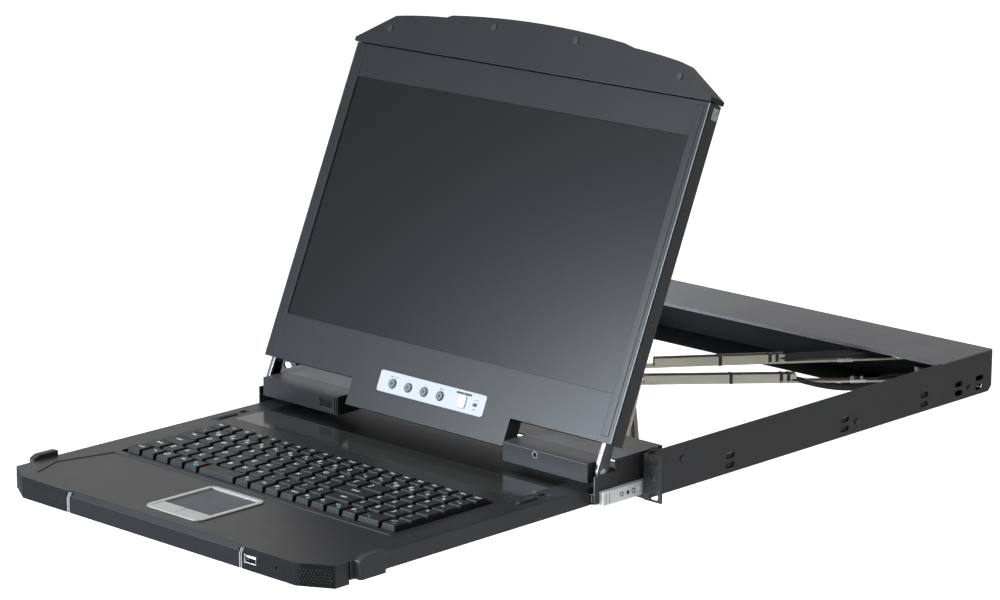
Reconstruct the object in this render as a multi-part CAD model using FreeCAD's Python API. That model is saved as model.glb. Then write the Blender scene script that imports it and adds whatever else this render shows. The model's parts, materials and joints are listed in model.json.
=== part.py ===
"""Rackmount LCD console drawer, one rack unit high, modelled in millimetres.

The origin is the centre of the front rack hole pattern, in the front plane of the ears.
X points right, Y points to the back of the rack and Z points up. The drawer is modelled
pulled out, with the screen panel raised, which is how it is used.
"""
import FreeCAD, Part

import math
import os

Vector = FreeCAD.Vector

# Chassis: two side rails with rack ears, joined at the back by a cable housing
rail_outer_width = 445.0
ear_width = 18.8
rail_height = 41.6
chassis_depth = 508.0
rail_wall = 1.5
ear_wall = 2.0
rail_flange = 12.0
housing_depth = 81.0
cover_wall = 1.2
bulkhead_setback = 34.0
cover_lip = 2.2
rack_hole_pitch = 31.75
rack_hole_edge = 8.75
rack_slot_length = 10.5
rack_slot_width = 6.8
rail_slot_length = 12.0
rail_slot_width = 5.2
rail_slot_stations = (115.0, 279.5, 400.0)
bracket_slot_stations = (455.0, 488.0)
rail_slot_heights = (-4.5, -13.5)
rail_screw_stations = (50.0, 298.0, 472.5)
rail_screw_heights = (6.0, -10.4, -11.6)
screw_head_radius = 3.2
screw_head_height = 1.4

# Slides that carry the panel carriage between the rails
slide_height = 12.5
slide_bottom = -17.0
slide_inner_thickness = 5.0
slide_web = 2.05
slide_lip = 1.2
slide_gap = 0.35
slide_front = -49.0
slide_inner_length = 184.0
slide_outer_front = 36.0
slide_outer_length = 389.0
slide_hole_radius = 2.4
slide_hole_stations = (32.0, 45.0)
slide_stop_station = 78.0
slide_stop_length = 18.0
slide_stop_width = 5.0
slide_pocket_depth = 1.6
ball_groove_depth = 1.1

# Panel carriage: a short sheet metal saddle that rides in the mouth of the chassis
carriage_front = -55.0
carriage_wall_rear = 60.0
carriage_plate_rear = 33.0
carriage_wall = 1.4
carriage_bottom = -15.2
carriage_top = 20.3
carriage_step_top = 9.5
carriage_notch_rear = -28.0
carriage_plate_front = -28.4
crossbar_depth = 18.0

# Hinge covers and the panel hinge
hinge_y = -43.0
hinge_z = 11.0
hinge_pin_radius = 3.0
pin_clearance = 0.05
hinge_block_width = 40.0
hinge_block_gap = 0.2
hinge_arm_inset = 5.2
hinge_arm_thickness = 4.8
cover_tab_gap = 5.0
cover_arm_gap = 1.0
cover_front = -56.0
cover_rear = -28.4
cover_bottom = 2.5
cover_top = 20.3
cover_shell = 1.6
grille_offset = 7.0
grille_width = 17.0
groove_depth = 0.8
end_groove_offsets = (1.2, 3.6)
lock_radius = 3.0
lock_offset = 39.0

# Screen panel, measured from the hinge axis while it stands upright and faces the front
panel_lean = 23.8
panel_inset = 3.0
panel_front = -9.0
panel_thickness = 16.0
panel_bottom = 24.5
screen_top_border = 32.0
panel_shell = 1.5
tab_half_width = 100.0
tab_bottom = -1.0
screen_side_border = 13.5
screen_bottom = 67.5
screen_height = 234.0
bezel_wall = 2.0
side_strip_width = 8.0
side_strip_rise = 0.5
handle_front = 3.0
handle_overhang = 2.0
handle_corner_rise = 4.5
handle_chamfer_run = 44.5
handle_chamfer_rise = 30.5
handle_grip_x = 109.0
handle_grip_rise = 36.5
handle_grip_step = 2.6
handle_crown_rise = 44.5
handle_floor = 2.0
handle_rim = 2.4
handle_gap = 0.6
latch_thickness = 0.5
handle_screw_inset = 41.5
handle_screw_inner_x = 51.0
handle_screw_rise = (17.5, 34.0)

# Control plate and its buttons
plate_half_width = 67.0
plate_bottom = 18.8
plate_height = 19.8
plate_thickness = 1.0
plate_corner = 2.5
button_row = 28.0
menu_button_x = (-49.0, -28.8, -8.7, 11.6)
menu_button_radius = 4.2
button_clearance = 0.35
button_rise = 1.4
button_flange = 1.0
button_flange_wall = 0.8
power_button_x = 39.8
power_button_width = 8.0
power_button_height = 10.5
power_button_corner = 1.6
reset_x = 55.2
reset_size = 2.6

# Keyboard drawer that runs inside the carriage
tray_side_gap = 7.8
tray_front = -338.0
tray_rear = 10.0
tray_bottom = -18.6
tray_wall = 1.2
shell_top = -3.0
shell_wall = 2.2
bezel_front = -370.5
bezel_inset = 1.4
bezel_corner_run = 29.0
bezel_chamfer = 16.5
bezel_bottom = -22.6
seam_x = (-112.0, 108.0)
seam_width = 4.0
runner_width = 3.4
runner_height = 7.0
runner_bottom = -15.5
runner_gap = 0.3
runner_front = -52.0
runner_rear = 52.0
guide_wall = 1.1
guide_front = -54.0
guide_rear = 56.0
lug_gap = 0.4
lug_front = -334.0
lug_rear = -305.0
lug_top = 1.1
lug_bottom = -18.6
lug_slant = 9.0
well_side_margin = 3.5
well_end_margin = 2.0
well_rear = -138.5
well_floor = -10.5
well_corner = 2.0
keyboard_side_margin = 31.55
key_row_units = 18
function_key_count = 20
key_row_depth = 19.5
function_row_depth = 18.0
key_gap = 2.0
key_top = 0.9
key_height = 7.0
key_taper = 1.4
key_travel = 1.6
key_stem = 3.2
key_stem_gap = 0.3
key_stem_engagement = 0.4
palm_recess_depth = 0.6
strip_front = -116.0
strip_rear = -75.0
strip_inset = 23.0
strip_thickness = 1.6
catch_inset = 12.5
catch_front = -132.0
catch_length = 34.0
catch_width = 8.0
catch_travel = 8.0
catch_rise = 1.2
touch_left = -34.5
touch_right = 35.0
touch_front = -352.5
touch_rear = -273.0
touch_frame_width = 5.0
touch_corner = 8.0
touch_button_depth = 14.0
touch_pad_depth = 1.4
touch_gap = 0.4
usb_inset = 54.0
usb_width = 14.5
usb_height = 7.0
usb_depth = 14.0
status_hole_inset = 23.0

# Cable arms: two equal links each, folding as the carriage slides in
arm_station_rear = 460.0
arm_station_front = 50.0
upper_arm_inset = 62.2
upper_arm_reach = 260.0
upper_arm_mid = 7.0
lower_arm_inset = 44.2
lower_arm_reach = 280.0
lower_arm_mid = -12.0
rear_link_height = 9.0
front_link_height = 4.0
arm_width = 10.0
arm_wall = 1.0
arm_strap = 2.0
arm_strap_width = 11.0
arm_strap_gap = 0.3
arm_pin_radius = 2.5
arm_elbow_clear = 14.0
arm_bracket_clear = 118.0
arm_slot_clear = 30.0
arm_bracket_thickness = 1.5
arm_bracket_half = 12.0
arm_bracket_foot = 7.0
arm_slot_length = 28.0
arm_strap_overlap = 16.0
cable_seat_gap = 0.1
rear_cable_radius = 3.2
front_cable_radius = 1.35

# Rear panel with its sockets
inlet_x = 150.0
inlet_width = 27.0
inlet_height = 20.0
switch_x = 112.0
switch_width = 19.0
switch_height = 12.0
switch_wall = 0.8
switch_gap = 0.3
switch_axle_radius = 1.2
switch_axle_depth = 4.5
video_x = 40.0
video_width = 31.0
video_height = 12.5
data_port_x = (0.0, -20.0, -55.0, -75.0)
data_port_width = 13.0
data_port_height = 12.0
port_depth = 12.0
port_wall = 2.0
cable_entry_size = 13.0
cable_entries = ((182.0, 5.5), (188.0, -11.0))

# Worked out sizes
rail_half = rail_outer_width / 2
rail_inner = rail_half - rail_wall
half_height = rail_height / 2
ear_half = rail_half + ear_width
rack_hole_offset = ear_half - rack_hole_edge
housing_front = chassis_depth - housing_depth
bulkhead_y = chassis_depth - bulkhead_setback
carriage_outer_half = rail_inner - slide_web - slide_gap - slide_inner_thickness
carriage_inner_half = carriage_outer_half - carriage_wall
hinge_arm_inner = carriage_inner_half - hinge_arm_inset
cover_inner = tab_half_width + cover_tab_gap
cover_outer = hinge_arm_inner - cover_arm_gap
panel_back = panel_front + panel_thickness
panel_half_width = rail_half - panel_inset
screen_half_width = panel_half_width - screen_side_border
screen_top = screen_bottom + screen_height
panel_top = screen_top + screen_top_border
handle_corner_x = panel_half_width + handle_overhang
handle_chamfer_x = handle_corner_x - handle_chamfer_run
handle_screw_x = (handle_corner_x - handle_screw_inset, handle_screw_inner_x)
tray_half_width = carriage_inner_half - tray_side_gap
bezel_half_width = tray_half_width - bezel_inset
bezel_flat_half = bezel_half_width - bezel_corner_run
lug_outer = carriage_inner_half - lug_gap
strip_half_width = bezel_half_width - strip_inset
catch_x = bezel_half_width - catch_inset
usb_x = bezel_flat_half - usb_inset
status_hole_x = bezel_flat_half - status_hole_inset
upper_arm_x = carriage_inner_half - upper_arm_inset
lower_arm_x = carriage_inner_half - lower_arm_inset
keyboard_half_width = bezel_half_width - keyboard_side_margin
key_pitch = 2 * keyboard_half_width / key_row_units
function_key_pitch = 2 * keyboard_half_width / function_key_count
well_half_width = keyboard_half_width + well_side_margin
well_front = well_rear - function_row_depth - 5 * key_row_depth - 2 * well_end_margin


def box(x0, x1, y0, y1, z0, z1):
    return Part.makeBox(x1 - x0, y1 - y0, z1 - z0, Vector(x0, y0, z0))


def cylinder(radius, start, end):
    start = Vector(*start)
    axis = Vector(*end) - start
    return Part.makeCylinder(radius, axis.Length, start, axis)


def prism(points, offset):
    wire = Part.makePolygon([Vector(*p) for p in points] + [Vector(*points[0])])
    return Part.Face(wire).extrude(Vector(*offset))


def mirrored(shape):
    return shape.mirror(Vector(0, 0, 0), Vector(1, 0, 0))


def both_sides(shape):
    return Part.makeCompound([shape, mirrored(shape)])


def rounded_plate(x0, x1, y0, y1, z0, z1, radius):
    plate = box(x0, x1, y0, y1, z0, z1)
    edges = [e for e in plate.Edges if abs(e.tangentAt(e.FirstParameter).z) > 0.99]
    return plate.makeFillet(radius, edges)


def slot_y(x, z, length, width, y0, y1):
    """A slot cut along Y with its long side along X, for rack holes."""
    run = (length - width) / 2
    middle = box(x - run, x + run, y0, y1, z - width / 2, z + width / 2)
    ends = [cylinder(width / 2, (x + s * run, y0, z), (x + s * run, y1, z)) for s in (-1, 1)]
    return middle.multiFuse(ends)


def slot_x(y, z, length, width, x0, x1):
    """A slot cut along X with its long side along Y, for the rail sides."""
    run = (length - width) / 2
    middle = box(x0, x1, y - run, y + run, z - width / 2, z + width / 2)
    ends = [cylinder(width / 2, (x0, y + s * run, z), (x1, y + s * run, z)) for s in (-1, 1)]
    return middle.multiFuse(ends)


def cut_slot_x(y, z, length, width, x0, x1):
    """A slot through a rail side whose ends are cut at a slant."""
    half = length / 2
    run = half - width * 0.3
    tall = width / 2
    low = width * 0.2
    return prism([(x0, y - half, z - low), (x0, y - run, z - tall), (x0, y + run, z - tall),
                  (x0, y + half, z - low), (x0, y + half, z + low), (x0, y + run, z + tall),
                  (x0, y - run, z + tall), (x0, y - half, z + low)], (x1 - x0, 0, 0))


def octagon(x, y, z0, z1, half):
    """An upright eight sided pad, as wide across its flats as a strap."""
    corner = half * math.tan(math.radians(22.5))
    points = [(-half, -corner), (-corner, -half), (corner, -half), (half, -corner),
              (half, corner), (corner, half), (-corner, half), (-half, corner)]
    return prism([(x + dx, y + dy, z0) for dx, dy in points], (0, 0, z1 - z0))


def lean_panel(shape):
    """Takes a shape from the upright panel frame to the raised panel's place."""
    placed = shape.copy()
    placed.rotate(Vector(0, 0, 0), Vector(1, 0, 0), -panel_lean)
    placed.translate(Vector(0, hinge_y, hinge_z))
    return placed


def right_rail():
    side = box(rail_inner, rail_half, 0, chassis_depth, -half_height, half_height)
    cover_seat = box(rail_inner, rail_half, housing_front, chassis_depth,
                     half_height - cover_wall, half_height)
    flange = box(rail_half - rail_flange, rail_inner, ear_wall, chassis_depth,
                 -half_height, -half_height + rail_wall)
    ear = box(rail_inner, ear_half, 0, ear_wall, -half_height, half_height)
    rail = side.cut(cover_seat).multiFuse([flange, ear])
    holes = [slot_y(rack_hole_offset, s * rack_hole_pitch / 2, rack_slot_length,
                    rack_slot_width, -1, ear_wall + 1) for s in (-1, 1)]
    holes += [cut_slot_x(y, z, rail_slot_length, rail_slot_width, rail_inner - 1, rail_half + 1)
              for y in rail_slot_stations for z in rail_slot_heights]
    holes += [slot_x(y, z, rail_slot_length, rail_slot_width, rail_inner - 1, rail_half + 1)
              for y in bracket_slot_stations for z in rail_slot_heights]
    foot_cut = prism([(rail_inner - rail_flange, chassis_depth - 6, -half_height - 1),
                      (rail_inner - rail_flange, chassis_depth + 1, -half_height - 1),
                      (rail_inner - rail_flange, chassis_depth + 1, -half_height + 6)],
                     (rail_flange + 3, 0, 0))
    return rail.cut(holes + [foot_cut]).removeSplitter()


def rail_screws():
    heads = []
    for y, z in zip(rail_screw_stations, rail_screw_heights):
        heads.append(cylinder(screw_head_radius, (rail_half, y, z),
                              (rail_half + screw_head_height, y, z)))
    return Part.makeCompound(heads + [mirrored(h) for h in heads])


def rear_top_cover():
    top = box(-rail_half, rail_half, housing_front, chassis_depth,
              half_height - cover_wall, half_height)
    lip = box(-rail_inner + 0.1, rail_inner - 0.1, housing_front, housing_front + cover_wall,
              half_height - cover_wall - cover_lip, half_height - cover_wall)
    return top.fuse(lip).removeSplitter()


def rear_bottom_plate():
    floor = box(-rail_half + rail_flange, rail_half - rail_flange, housing_front,
                chassis_depth - cover_wall, -half_height, -half_height + cover_wall)
    return floor


def port_holes(y0, y1, gap=0.0):
    """The cutting boxes of the rear sockets, grown by a gap all round."""
    def hole(x, width, height):
        return box(x - width / 2 - gap, x + width / 2 + gap, y0, y1,
                   -height / 2 - gap, height / 2 + gap)
    holes = [hole(inlet_x, inlet_width, inlet_height), hole(switch_x, switch_width, switch_height),
             hole(video_x, video_width, video_height)]
    return holes + [hole(x, data_port_width, data_port_height) for x in data_port_x]


def rear_panel():
    panel = box(-rail_inner, rail_inner, chassis_depth - cover_wall, chassis_depth,
                -half_height + cover_wall, half_height - cover_wall)
    corner_cut = box(rail_half - rail_flange, rail_inner, chassis_depth - cover_wall,
                     chassis_depth, -half_height, -half_height + 6)
    sockets = port_holes(chassis_depth - cover_wall - 1, chassis_depth + 1)
    sheet = panel.cut(sockets + [corner_cut, mirrored(corner_cut)])
    columns = [box(hole.BoundBox.XMin, hole.BoundBox.XMax, chassis_depth - cover_wall,
                   chassis_depth, -half_height, half_height) for hole in sockets]
    above_and_below = [sheet.common(column) for column in columns]
    return Part.makeCompound([s for piece in [sheet.cut(columns)] + above_and_below
                              for s in piece.Solids])


def rear_sockets():
    """Power inlet, switch housing, video socket and data sockets, each a block with a recess."""
    front = chassis_depth - port_depth
    blocks = port_holes(front, chassis_depth + 0.8)
    recesses = port_holes(front + 2, chassis_depth + 1, gap=-port_wall)
    recesses[1] = port_holes(front + 2, chassis_depth + 1, gap=-switch_wall)[1]
    ports = [b.cut(r) for b, r in zip(blocks, recesses)]
    pins = [box(inlet_x + dx - 1, inlet_x + dx + 1, front + 1.5, chassis_depth - 4, -3, 3)
            for dx in (-7, 0, 7)]
    ports[0] = ports[0].multiFuse(pins)
    ports[1] = ports[1].cut(switch_axle(switch_axle_radius + pin_clearance))
    for index, x in enumerate(data_port_x, 3):
        tongue = box(x - 3.5, x + 3.5, front + 1.5, chassis_depth - 3, -1.2, 1.2)
        ports[index] = ports[index].fuse(tongue)
    return Part.makeCompound(ports)


def switch_axle(radius):
    z = switch_height / 2 - switch_wall / 2
    y = chassis_depth - switch_axle_depth
    return cylinder(radius, (switch_x, y, -z), (switch_x, y, z))


def power_switch():
    """A rocker with one end raised, on an axle across its housing."""
    half = switch_width / 2 - switch_wall - switch_gap
    tall = switch_height / 2 - switch_wall - switch_gap
    y = chassis_depth
    rocker = prism([(switch_x - half, y - 3, -tall), (switch_x + half, y - 3, -tall),
                    (switch_x + half - 1, y + 0.4, -tall), (switch_x, y - 0.6, -tall),
                    (switch_x - half + 1.6, y + 2.4, -tall)], (0, 0, 2 * tall))
    heel = box(switch_x - 3, switch_x + 3, y - switch_axle_depth - 2, y - 2.9, -tall, tall)
    return rocker.multiFuse([heel, switch_axle(switch_axle_radius)]).removeSplitter()


def cable_bulkhead():
    plate = box(-rail_half + rail_flange, rail_half - rail_flange, bulkhead_y,
                bulkhead_y + cover_wall, -half_height + cover_wall, half_height - cover_wall)
    half = cable_entry_size / 2
    entries = [box(x - half, x + half, bulkhead_y - 1, bulkhead_y + 3, z - half, z + half)
               for x, z in cable_entries]
    return plate.cut(entries)


def arm_brackets():
    """A shelf for each cable arm, standing out from the bulkhead, with the arm's pivot pin."""
    brackets = []
    for x, mid in ((upper_arm_x, upper_arm_mid), (lower_arm_x, lower_arm_mid)):
        z0 = mid + arm_strap_gap / 2 + arm_strap + arm_strap_gap
        half = arm_bracket_half
        shelf = box(x - half, x + half, arm_station_rear, bulkhead_y, z0, z0 + arm_bracket_thickness)
        nose = octagon(x, arm_station_rear, z0, z0 + arm_bracket_thickness, half)
        foot = box(x - half, x + half, bulkhead_y - arm_bracket_thickness, bulkhead_y,
                   z0, z0 + arm_bracket_foot)
        pin = cylinder(arm_pin_radius, (x, arm_station_rear, mid - 0.05),
                       (x, arm_station_rear, z0 + 0.5))
        brackets.append(shelf.multiFuse([nose, foot, pin]).removeSplitter())
    return Part.makeCompound(brackets)


def slide_bar():
    """The inner slide member: a bar with a ball groove along its top and its bottom."""
    x0 = carriage_outer_half
    x1 = x0 + slide_inner_thickness
    rear = slide_front + slide_inner_length
    top = slide_bottom + slide_height
    bar = box(x0, x1, slide_front, rear, slide_bottom, top)
    middle = (x0 + x1) / 2
    depth = ball_groove_depth
    grooves = [prism([(middle - depth, slide_front - 1, z), (middle, slide_front - 1, z - depth),
                      (middle + depth, slide_front - 1, z), (middle, slide_front - 1, z + depth)],
                     (0, slide_inner_length + 2, 0)) for z in (slide_bottom, top)]
    centre = slide_bottom + slide_height / 2
    pocket = x1 - slide_pocket_depth
    holes = [cylinder(slide_hole_radius, (pocket, slide_front + y, centre),
                      (x1 + 1, slide_front + y, centre)) for y in slide_hole_stations]
    stop = cut_slot_x(slide_front + slide_stop_station, centre, slide_stop_length,
                      slide_stop_width, pocket, x1 + 1)
    return bar.cut(grooves + holes + [stop])


def slide_channel():
    """The outer slide member: a channel on the rail that wraps the bar with a running gap."""
    web_x = carriage_outer_half + slide_inner_thickness + slide_gap
    lip_x = carriage_outer_half + slide_lip
    y0 = slide_outer_front
    y1 = slide_outer_front + slide_outer_length
    low = slide_bottom - slide_gap
    high = slide_bottom + slide_height + slide_gap
    web = box(web_x, rail_inner, y0, y1, low - slide_lip, high + slide_lip)
    floor = box(lip_x, web_x, y0, y1, low - slide_lip, low)
    roof = box(lip_x, web_x, y0, y1, high, high + slide_lip)
    return web.multiFuse([floor, roof]).removeSplitter()


def carriage_frame():
    wall_low = box(carriage_inner_half, carriage_outer_half, carriage_front, carriage_wall_rear,
                   carriage_bottom, carriage_step_top)
    wall_high = box(carriage_inner_half, carriage_outer_half, carriage_notch_rear,
                    carriage_plate_rear, carriage_step_top, carriage_top)
    rear_slope = prism([(carriage_inner_half, carriage_plate_rear, carriage_step_top),
                        (carriage_inner_half, carriage_plate_rear + 8, carriage_step_top),
                        (carriage_inner_half, carriage_plate_rear, carriage_step_top + 8)],
                       (carriage_wall, 0, 0))
    plate = box(-carriage_outer_half, carriage_outer_half, carriage_plate_front,
                carriage_plate_rear, carriage_top - carriage_wall, carriage_top)
    bar_top = runner_bottom - runner_gap - guide_wall
    bar_bottom = bar_top - carriage_wall
    crossbar = box(-carriage_outer_half, carriage_outer_half, carriage_wall_rear - crossbar_depth,
                   carriage_wall_rear, bar_bottom, bar_top)
    bar_leg = box(carriage_inner_half, carriage_outer_half, carriage_wall_rear - crossbar_depth,
                  carriage_wall_rear, bar_bottom, carriage_bottom + 1)
    z_low = lower_arm_mid - arm_strap_gap / 2 - arm_strap - arm_strap_gap
    z_high = upper_arm_mid - arm_strap_gap / 2 - arm_strap - arm_strap_gap
    upper_shelf = arm_shelf(upper_arm_x, z_high, carriage_top)
    lower_shelf = arm_shelf(lower_arm_x, z_low, bar_bottom)
    walls = [wall_low, wall_high, rear_slope, bar_leg]
    parts = walls + [mirrored(w) for w in walls] + [crossbar, upper_shelf, lower_shelf]
    frame = plate.multiFuse(parts)
    return frame.cut(carriage_cuts()).removeSplitter()


def arm_shelf(x, shelf_top, anchor_z):
    """A slotted shelf that guides a cable arm's end pin, hung from or standing on the frame."""
    y0 = arm_station_front - arm_slot_length - 2
    y1 = arm_station_front + 9
    shelf = box(x - 9, x + 9, y0, y1, shelf_top - carriage_wall, shelf_top)
    side_x = x + 9
    low = min(shelf_top - carriage_wall, anchor_z)
    high = max(shelf_top, anchor_z)
    if anchor_z > shelf_top:
        hanger = box(side_x, side_x + carriage_wall, y0, carriage_plate_rear, low, high)
    else:
        hanger = box(side_x, side_x + carriage_wall, carriage_wall_rear - crossbar_depth, y1,
                     low, high)
    slot = slot_z(x, arm_station_front - arm_slot_length / 2 + arm_pin_radius, arm_slot_length,
                  2 * arm_pin_radius + 1.0, shelf_top - carriage_wall - 1, shelf_top + 1)
    return shelf.cut(slot).fuse(hanger)


def slot_z(x, y, length, width, z0, z1):
    run = (length - width) / 2
    middle = box(x - width / 2, x + width / 2, y - run, y + run, z0, z1)
    ends = [cylinder(width / 2, (x, y + s * run, z0), (x, y + s * run, z1)) for s in (-1, 1)]
    return middle.multiFuse(ends)


def carriage_cuts():
    """Clears the plate round the panel's centre tab and the hinge arms."""
    tab_bay = box(-tab_half_width - 3, tab_half_width + 3, carriage_plate_front - 1,
                  carriage_plate_front + 2, carriage_top - 5, carriage_top + 1)
    return [tab_bay]


def hinge_cover(ribbed):
    """A hollow cover over one hinge, open below, with a lip at the front and a closed end."""
    outer = box(cover_inner, cover_outer, cover_front, cover_rear, cover_bottom, cover_top)
    top_front = [e for e in outer.Edges
                 if abs(e.CenterOfMass.y - cover_front) < 0.01 and abs(e.CenterOfMass.z - cover_top) < 0.01]
    outer = outer.makeFillet(1.2, top_front)
    inner = box(cover_inner + cover_shell, cover_outer - cover_shell, cover_front + cover_shell,
                cover_rear - cover_shell, cover_bottom - 1, cover_top - cover_shell)
    bore = cylinder(hinge_pin_radius, (cover_outer - 3, hinge_y, hinge_z), (cover_outer + 1, hinge_y, hinge_z))
    cover = outer.cut([inner, bore])
    if ribbed:
        window_x = cover_inner + grille_offset
        window = box(window_x, window_x + grille_width, cover_front - 1,
                     cover_front + groove_depth, cover_bottom + 4, cover_top - 5)
        grooves = [box(cover_inner + x, cover_inner + x + 1, cover_front - 1,
                       cover_front + groove_depth, cover_bottom + 1, cover_top - 2)
                   for x in end_groove_offsets]
        cover = cover.cut(grooves + [window])
    else:
        lock_x = cover_inner + lock_offset
        lock_z = cover_top - 1.5 * lock_radius
        lock = cylinder(lock_radius, (lock_x, cover_front - 1, lock_z),
                        (lock_x, cover_front + 0.9, lock_z))
        cover = cover.cut(lock)
    return cover


def hinge_pin():
    """The pin and the friction block that holds it inside the cover."""
    inner_end = cover_outer - cover_shell - hinge_block_gap
    shaft = cylinder(hinge_pin_radius - pin_clearance, (inner_end - 1, hinge_y, hinge_z),
                     (hinge_arm_inner + hinge_arm_thickness + 0.2, hinge_y, hinge_z))
    block = box(inner_end - hinge_block_width, inner_end, cover_front + cover_shell + hinge_block_gap,
                cover_rear - cover_shell - hinge_block_gap, cover_bottom,
                cover_top - cover_shell - hinge_block_gap)
    return shaft.fuse(block)


def hinge_arm():
    """The bright arm that joins the panel to its hinge pin, tapering to a round eye."""
    x0 = hinge_arm_inner
    eye = cylinder(7.0, (x0, 0, 0), (x0 + hinge_arm_thickness, 0, 0))
    blade = prism([(x0, -7.0, 0), (x0, 7.0, 0), (x0, panel_back - 1.8, panel_bottom - 0.2),
                   (x0, panel_front + 2.4, panel_bottom - 0.2)], (hinge_arm_thickness, 0, 0))
    root = box(x0, x0 + hinge_arm_thickness, panel_front + bezel_wall + 0.4, panel_back - 1.8,
               panel_bottom - 0.2, panel_bottom + 40)
    web_cut = prism([(x0 - 1, -3.5, 9), (x0 - 1, 3.5, 9), (x0 - 1, 3.2, panel_bottom - 3),
                     (x0 - 1, -4.2, panel_bottom - 3)], (2.6, 0, 0))
    bore = cylinder(hinge_pin_radius, (x0 - 1, 0, 0), (x0 + hinge_arm_thickness + 1, 0, 0))
    return eye.multiFuse([blade, root]).cut([web_cut, bore]).removeSplitter()


def panel_outline(grow=0.0):
    """The panel's face outline in XZ: a rectangle with a centre tab between the hinge bays."""
    w = panel_half_width - grow
    t = tab_half_width - grow
    b = panel_bottom + grow
    return [(-w, 0, b), (-t, 0, b), (-t, 0, tab_bottom + grow), (t, 0, tab_bottom + grow),
            (t, 0, b), (w, 0, b), (w, 0, panel_top - grow), (-w, 0, panel_top - grow)]


def panel_slab(y0, y1, grow=0.0):
    slab = prism(panel_outline(grow), (0, y1 - y0, 0))
    slab.translate(Vector(0, y0, 0))
    return slab


def panel_back_cover():
    y0 = panel_front + bezel_wall
    shell = panel_slab(y0, panel_back)
    hollow = panel_slab(y0 - 1, panel_back - panel_shell, grow=panel_shell)
    arm_gap = 0.3
    arm_slots = box(hinge_arm_inner - arm_gap, hinge_arm_inner + hinge_arm_thickness + arm_gap,
                    panel_front - 1, panel_back - panel_shell - 0.1, panel_bottom - 1,
                    panel_bottom + panel_shell + 1)
    return shell.cut([hollow, arm_slots, mirrored(arm_slots)])


def panel_bezel():
    face = panel_slab(panel_front, panel_front + bezel_wall)
    window = box(-screen_half_width, screen_half_width, panel_front - 1, panel_front + bezel_wall + 1,
                 screen_bottom, screen_top)
    strip_x0 = screen_half_width
    strip = box(strip_x0, strip_x0 + side_strip_width, panel_front - side_strip_rise, panel_front,
                panel_bottom + 6, panel_top - 4)
    plate_seat = box(-plate_half_width - 0.1, plate_half_width + 0.1, panel_front - 1,
                     panel_front + plate_thickness, plate_bottom - 0.1, plate_bottom + plate_height + 0.1)
    arm_slots = box(hinge_arm_inner - 0.3, hinge_arm_inner + hinge_arm_thickness + 0.3,
                    panel_front + 0.6, panel_front + bezel_wall + 1, panel_bottom - 1, panel_bottom + 1)
    reach = menu_button_radius + button_flange + 2 * button_clearance
    button_bay = box(menu_button_x[0] - reach, power_button_x + reach, panel_front - 1,
                     panel_front + bezel_wall + 1, button_row - reach - 1, button_row + reach + 1)
    bezel = face.multiFuse([strip, mirrored(strip)])
    bezel = bezel.cut([window, plate_seat, button_bay, arm_slots, mirrored(arm_slots)])
    return bezel.removeSplitter()


def screen_module():
    """The display: glass that fills the window and the metal module behind it."""
    glass = box(-screen_half_width + 0.1, screen_half_width - 0.1, panel_front + 0.7,
                panel_front + bezel_wall, screen_bottom + 0.1, screen_top - 0.1)
    module = box(-screen_half_width + 4, screen_half_width - 4, panel_front + bezel_wall,
                 panel_back - panel_shell, screen_bottom - 6, screen_top + 6)
    return glass.fuse(module)


def handle_outline(inset=0.0):
    """The grip's outline from its left tip over the crown to its right tip, as edges."""
    base = panel_top + handle_gap + inset
    top = panel_top
    corner = handle_corner_x - inset
    chamfer = handle_chamfer_x - inset * 0.4
    tip = Vector(corner, 0, top + handle_corner_rise)
    shoulder = Vector(chamfer, 0, top + handle_chamfer_rise - inset)
    step_out = Vector(handle_grip_x + 4, 0, top + handle_grip_rise - inset)
    step_in = Vector(handle_grip_x - 2, 0, top + handle_grip_rise + handle_grip_step - inset)
    crown = Vector(0, 0, top + handle_crown_rise - inset)

    def flip(p):
        return Vector(-p.x, p.y, p.z)
    bulge = (shoulder + step_out) * 0.5 + Vector(0, 0, 0.8)
    edges = [Part.LineSegment(Vector(-corner, 0, base), Vector(corner, 0, base)).toShape(),
             Part.LineSegment(Vector(corner, 0, base), tip).toShape(),
             Part.LineSegment(tip, shoulder).toShape(),
             Part.Arc(shoulder, bulge, step_out).toShape(),
             Part.LineSegment(step_out, step_in).toShape(),
             Part.Arc(step_in, crown, flip(step_in)).toShape(),
             Part.LineSegment(flip(step_in), flip(step_out)).toShape(),
             Part.Arc(flip(step_out), flip(bulge), flip(shoulder)).toShape(),
             Part.LineSegment(flip(shoulder), flip(tip)).toShape(),
             Part.LineSegment(flip(tip), Vector(-corner, 0, base)).toShape()]
    return Part.Wire(edges)


def panel_handle():
    """The curved grip: a face plate with a thick rim turned back from it."""
    y0 = panel_front - handle_front
    body = Part.Face(handle_outline()).extrude(Vector(0, panel_back - y0, 0))
    body.translate(Vector(0, y0, 0))
    hollow = Part.Face(handle_outline(handle_rim)).extrude(Vector(0, panel_thickness + 8, 0))
    hollow.translate(Vector(0, y0 + handle_floor, 0))
    neck = box(-panel_half_width + 6, panel_half_width - 6, panel_front + 4, panel_back - 4,
               panel_top, panel_top + handle_gap + 0.1)
    return body.cut(hollow).fuse(neck)


def panel_screws():
    """The screws that hold the grip, with their heads on its face."""
    heads = []
    y = panel_front - handle_front
    for x, rise in zip(handle_screw_x, handle_screw_rise):
        for side in (-1, 1):
            heads.append(cylinder(screw_head_radius, (side * x, y - 0.9, panel_top + rise),
                                  (side * x, y, panel_top + rise)))
    return Part.makeCompound(heads)


def panel_latch():
    """The small spring catch at the top of each panel side."""
    face = panel_half_width + latch_thickness
    plate = box(panel_half_width, face, -3, 5, panel_top - 14, panel_top - 3)
    nib = prism([(face, -1, panel_top - 11), (face, 4, panel_top - 11), (face, 4, panel_top - 5)],
                (latch_thickness, 0, 0))
    return plate.fuse(nib)


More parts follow.
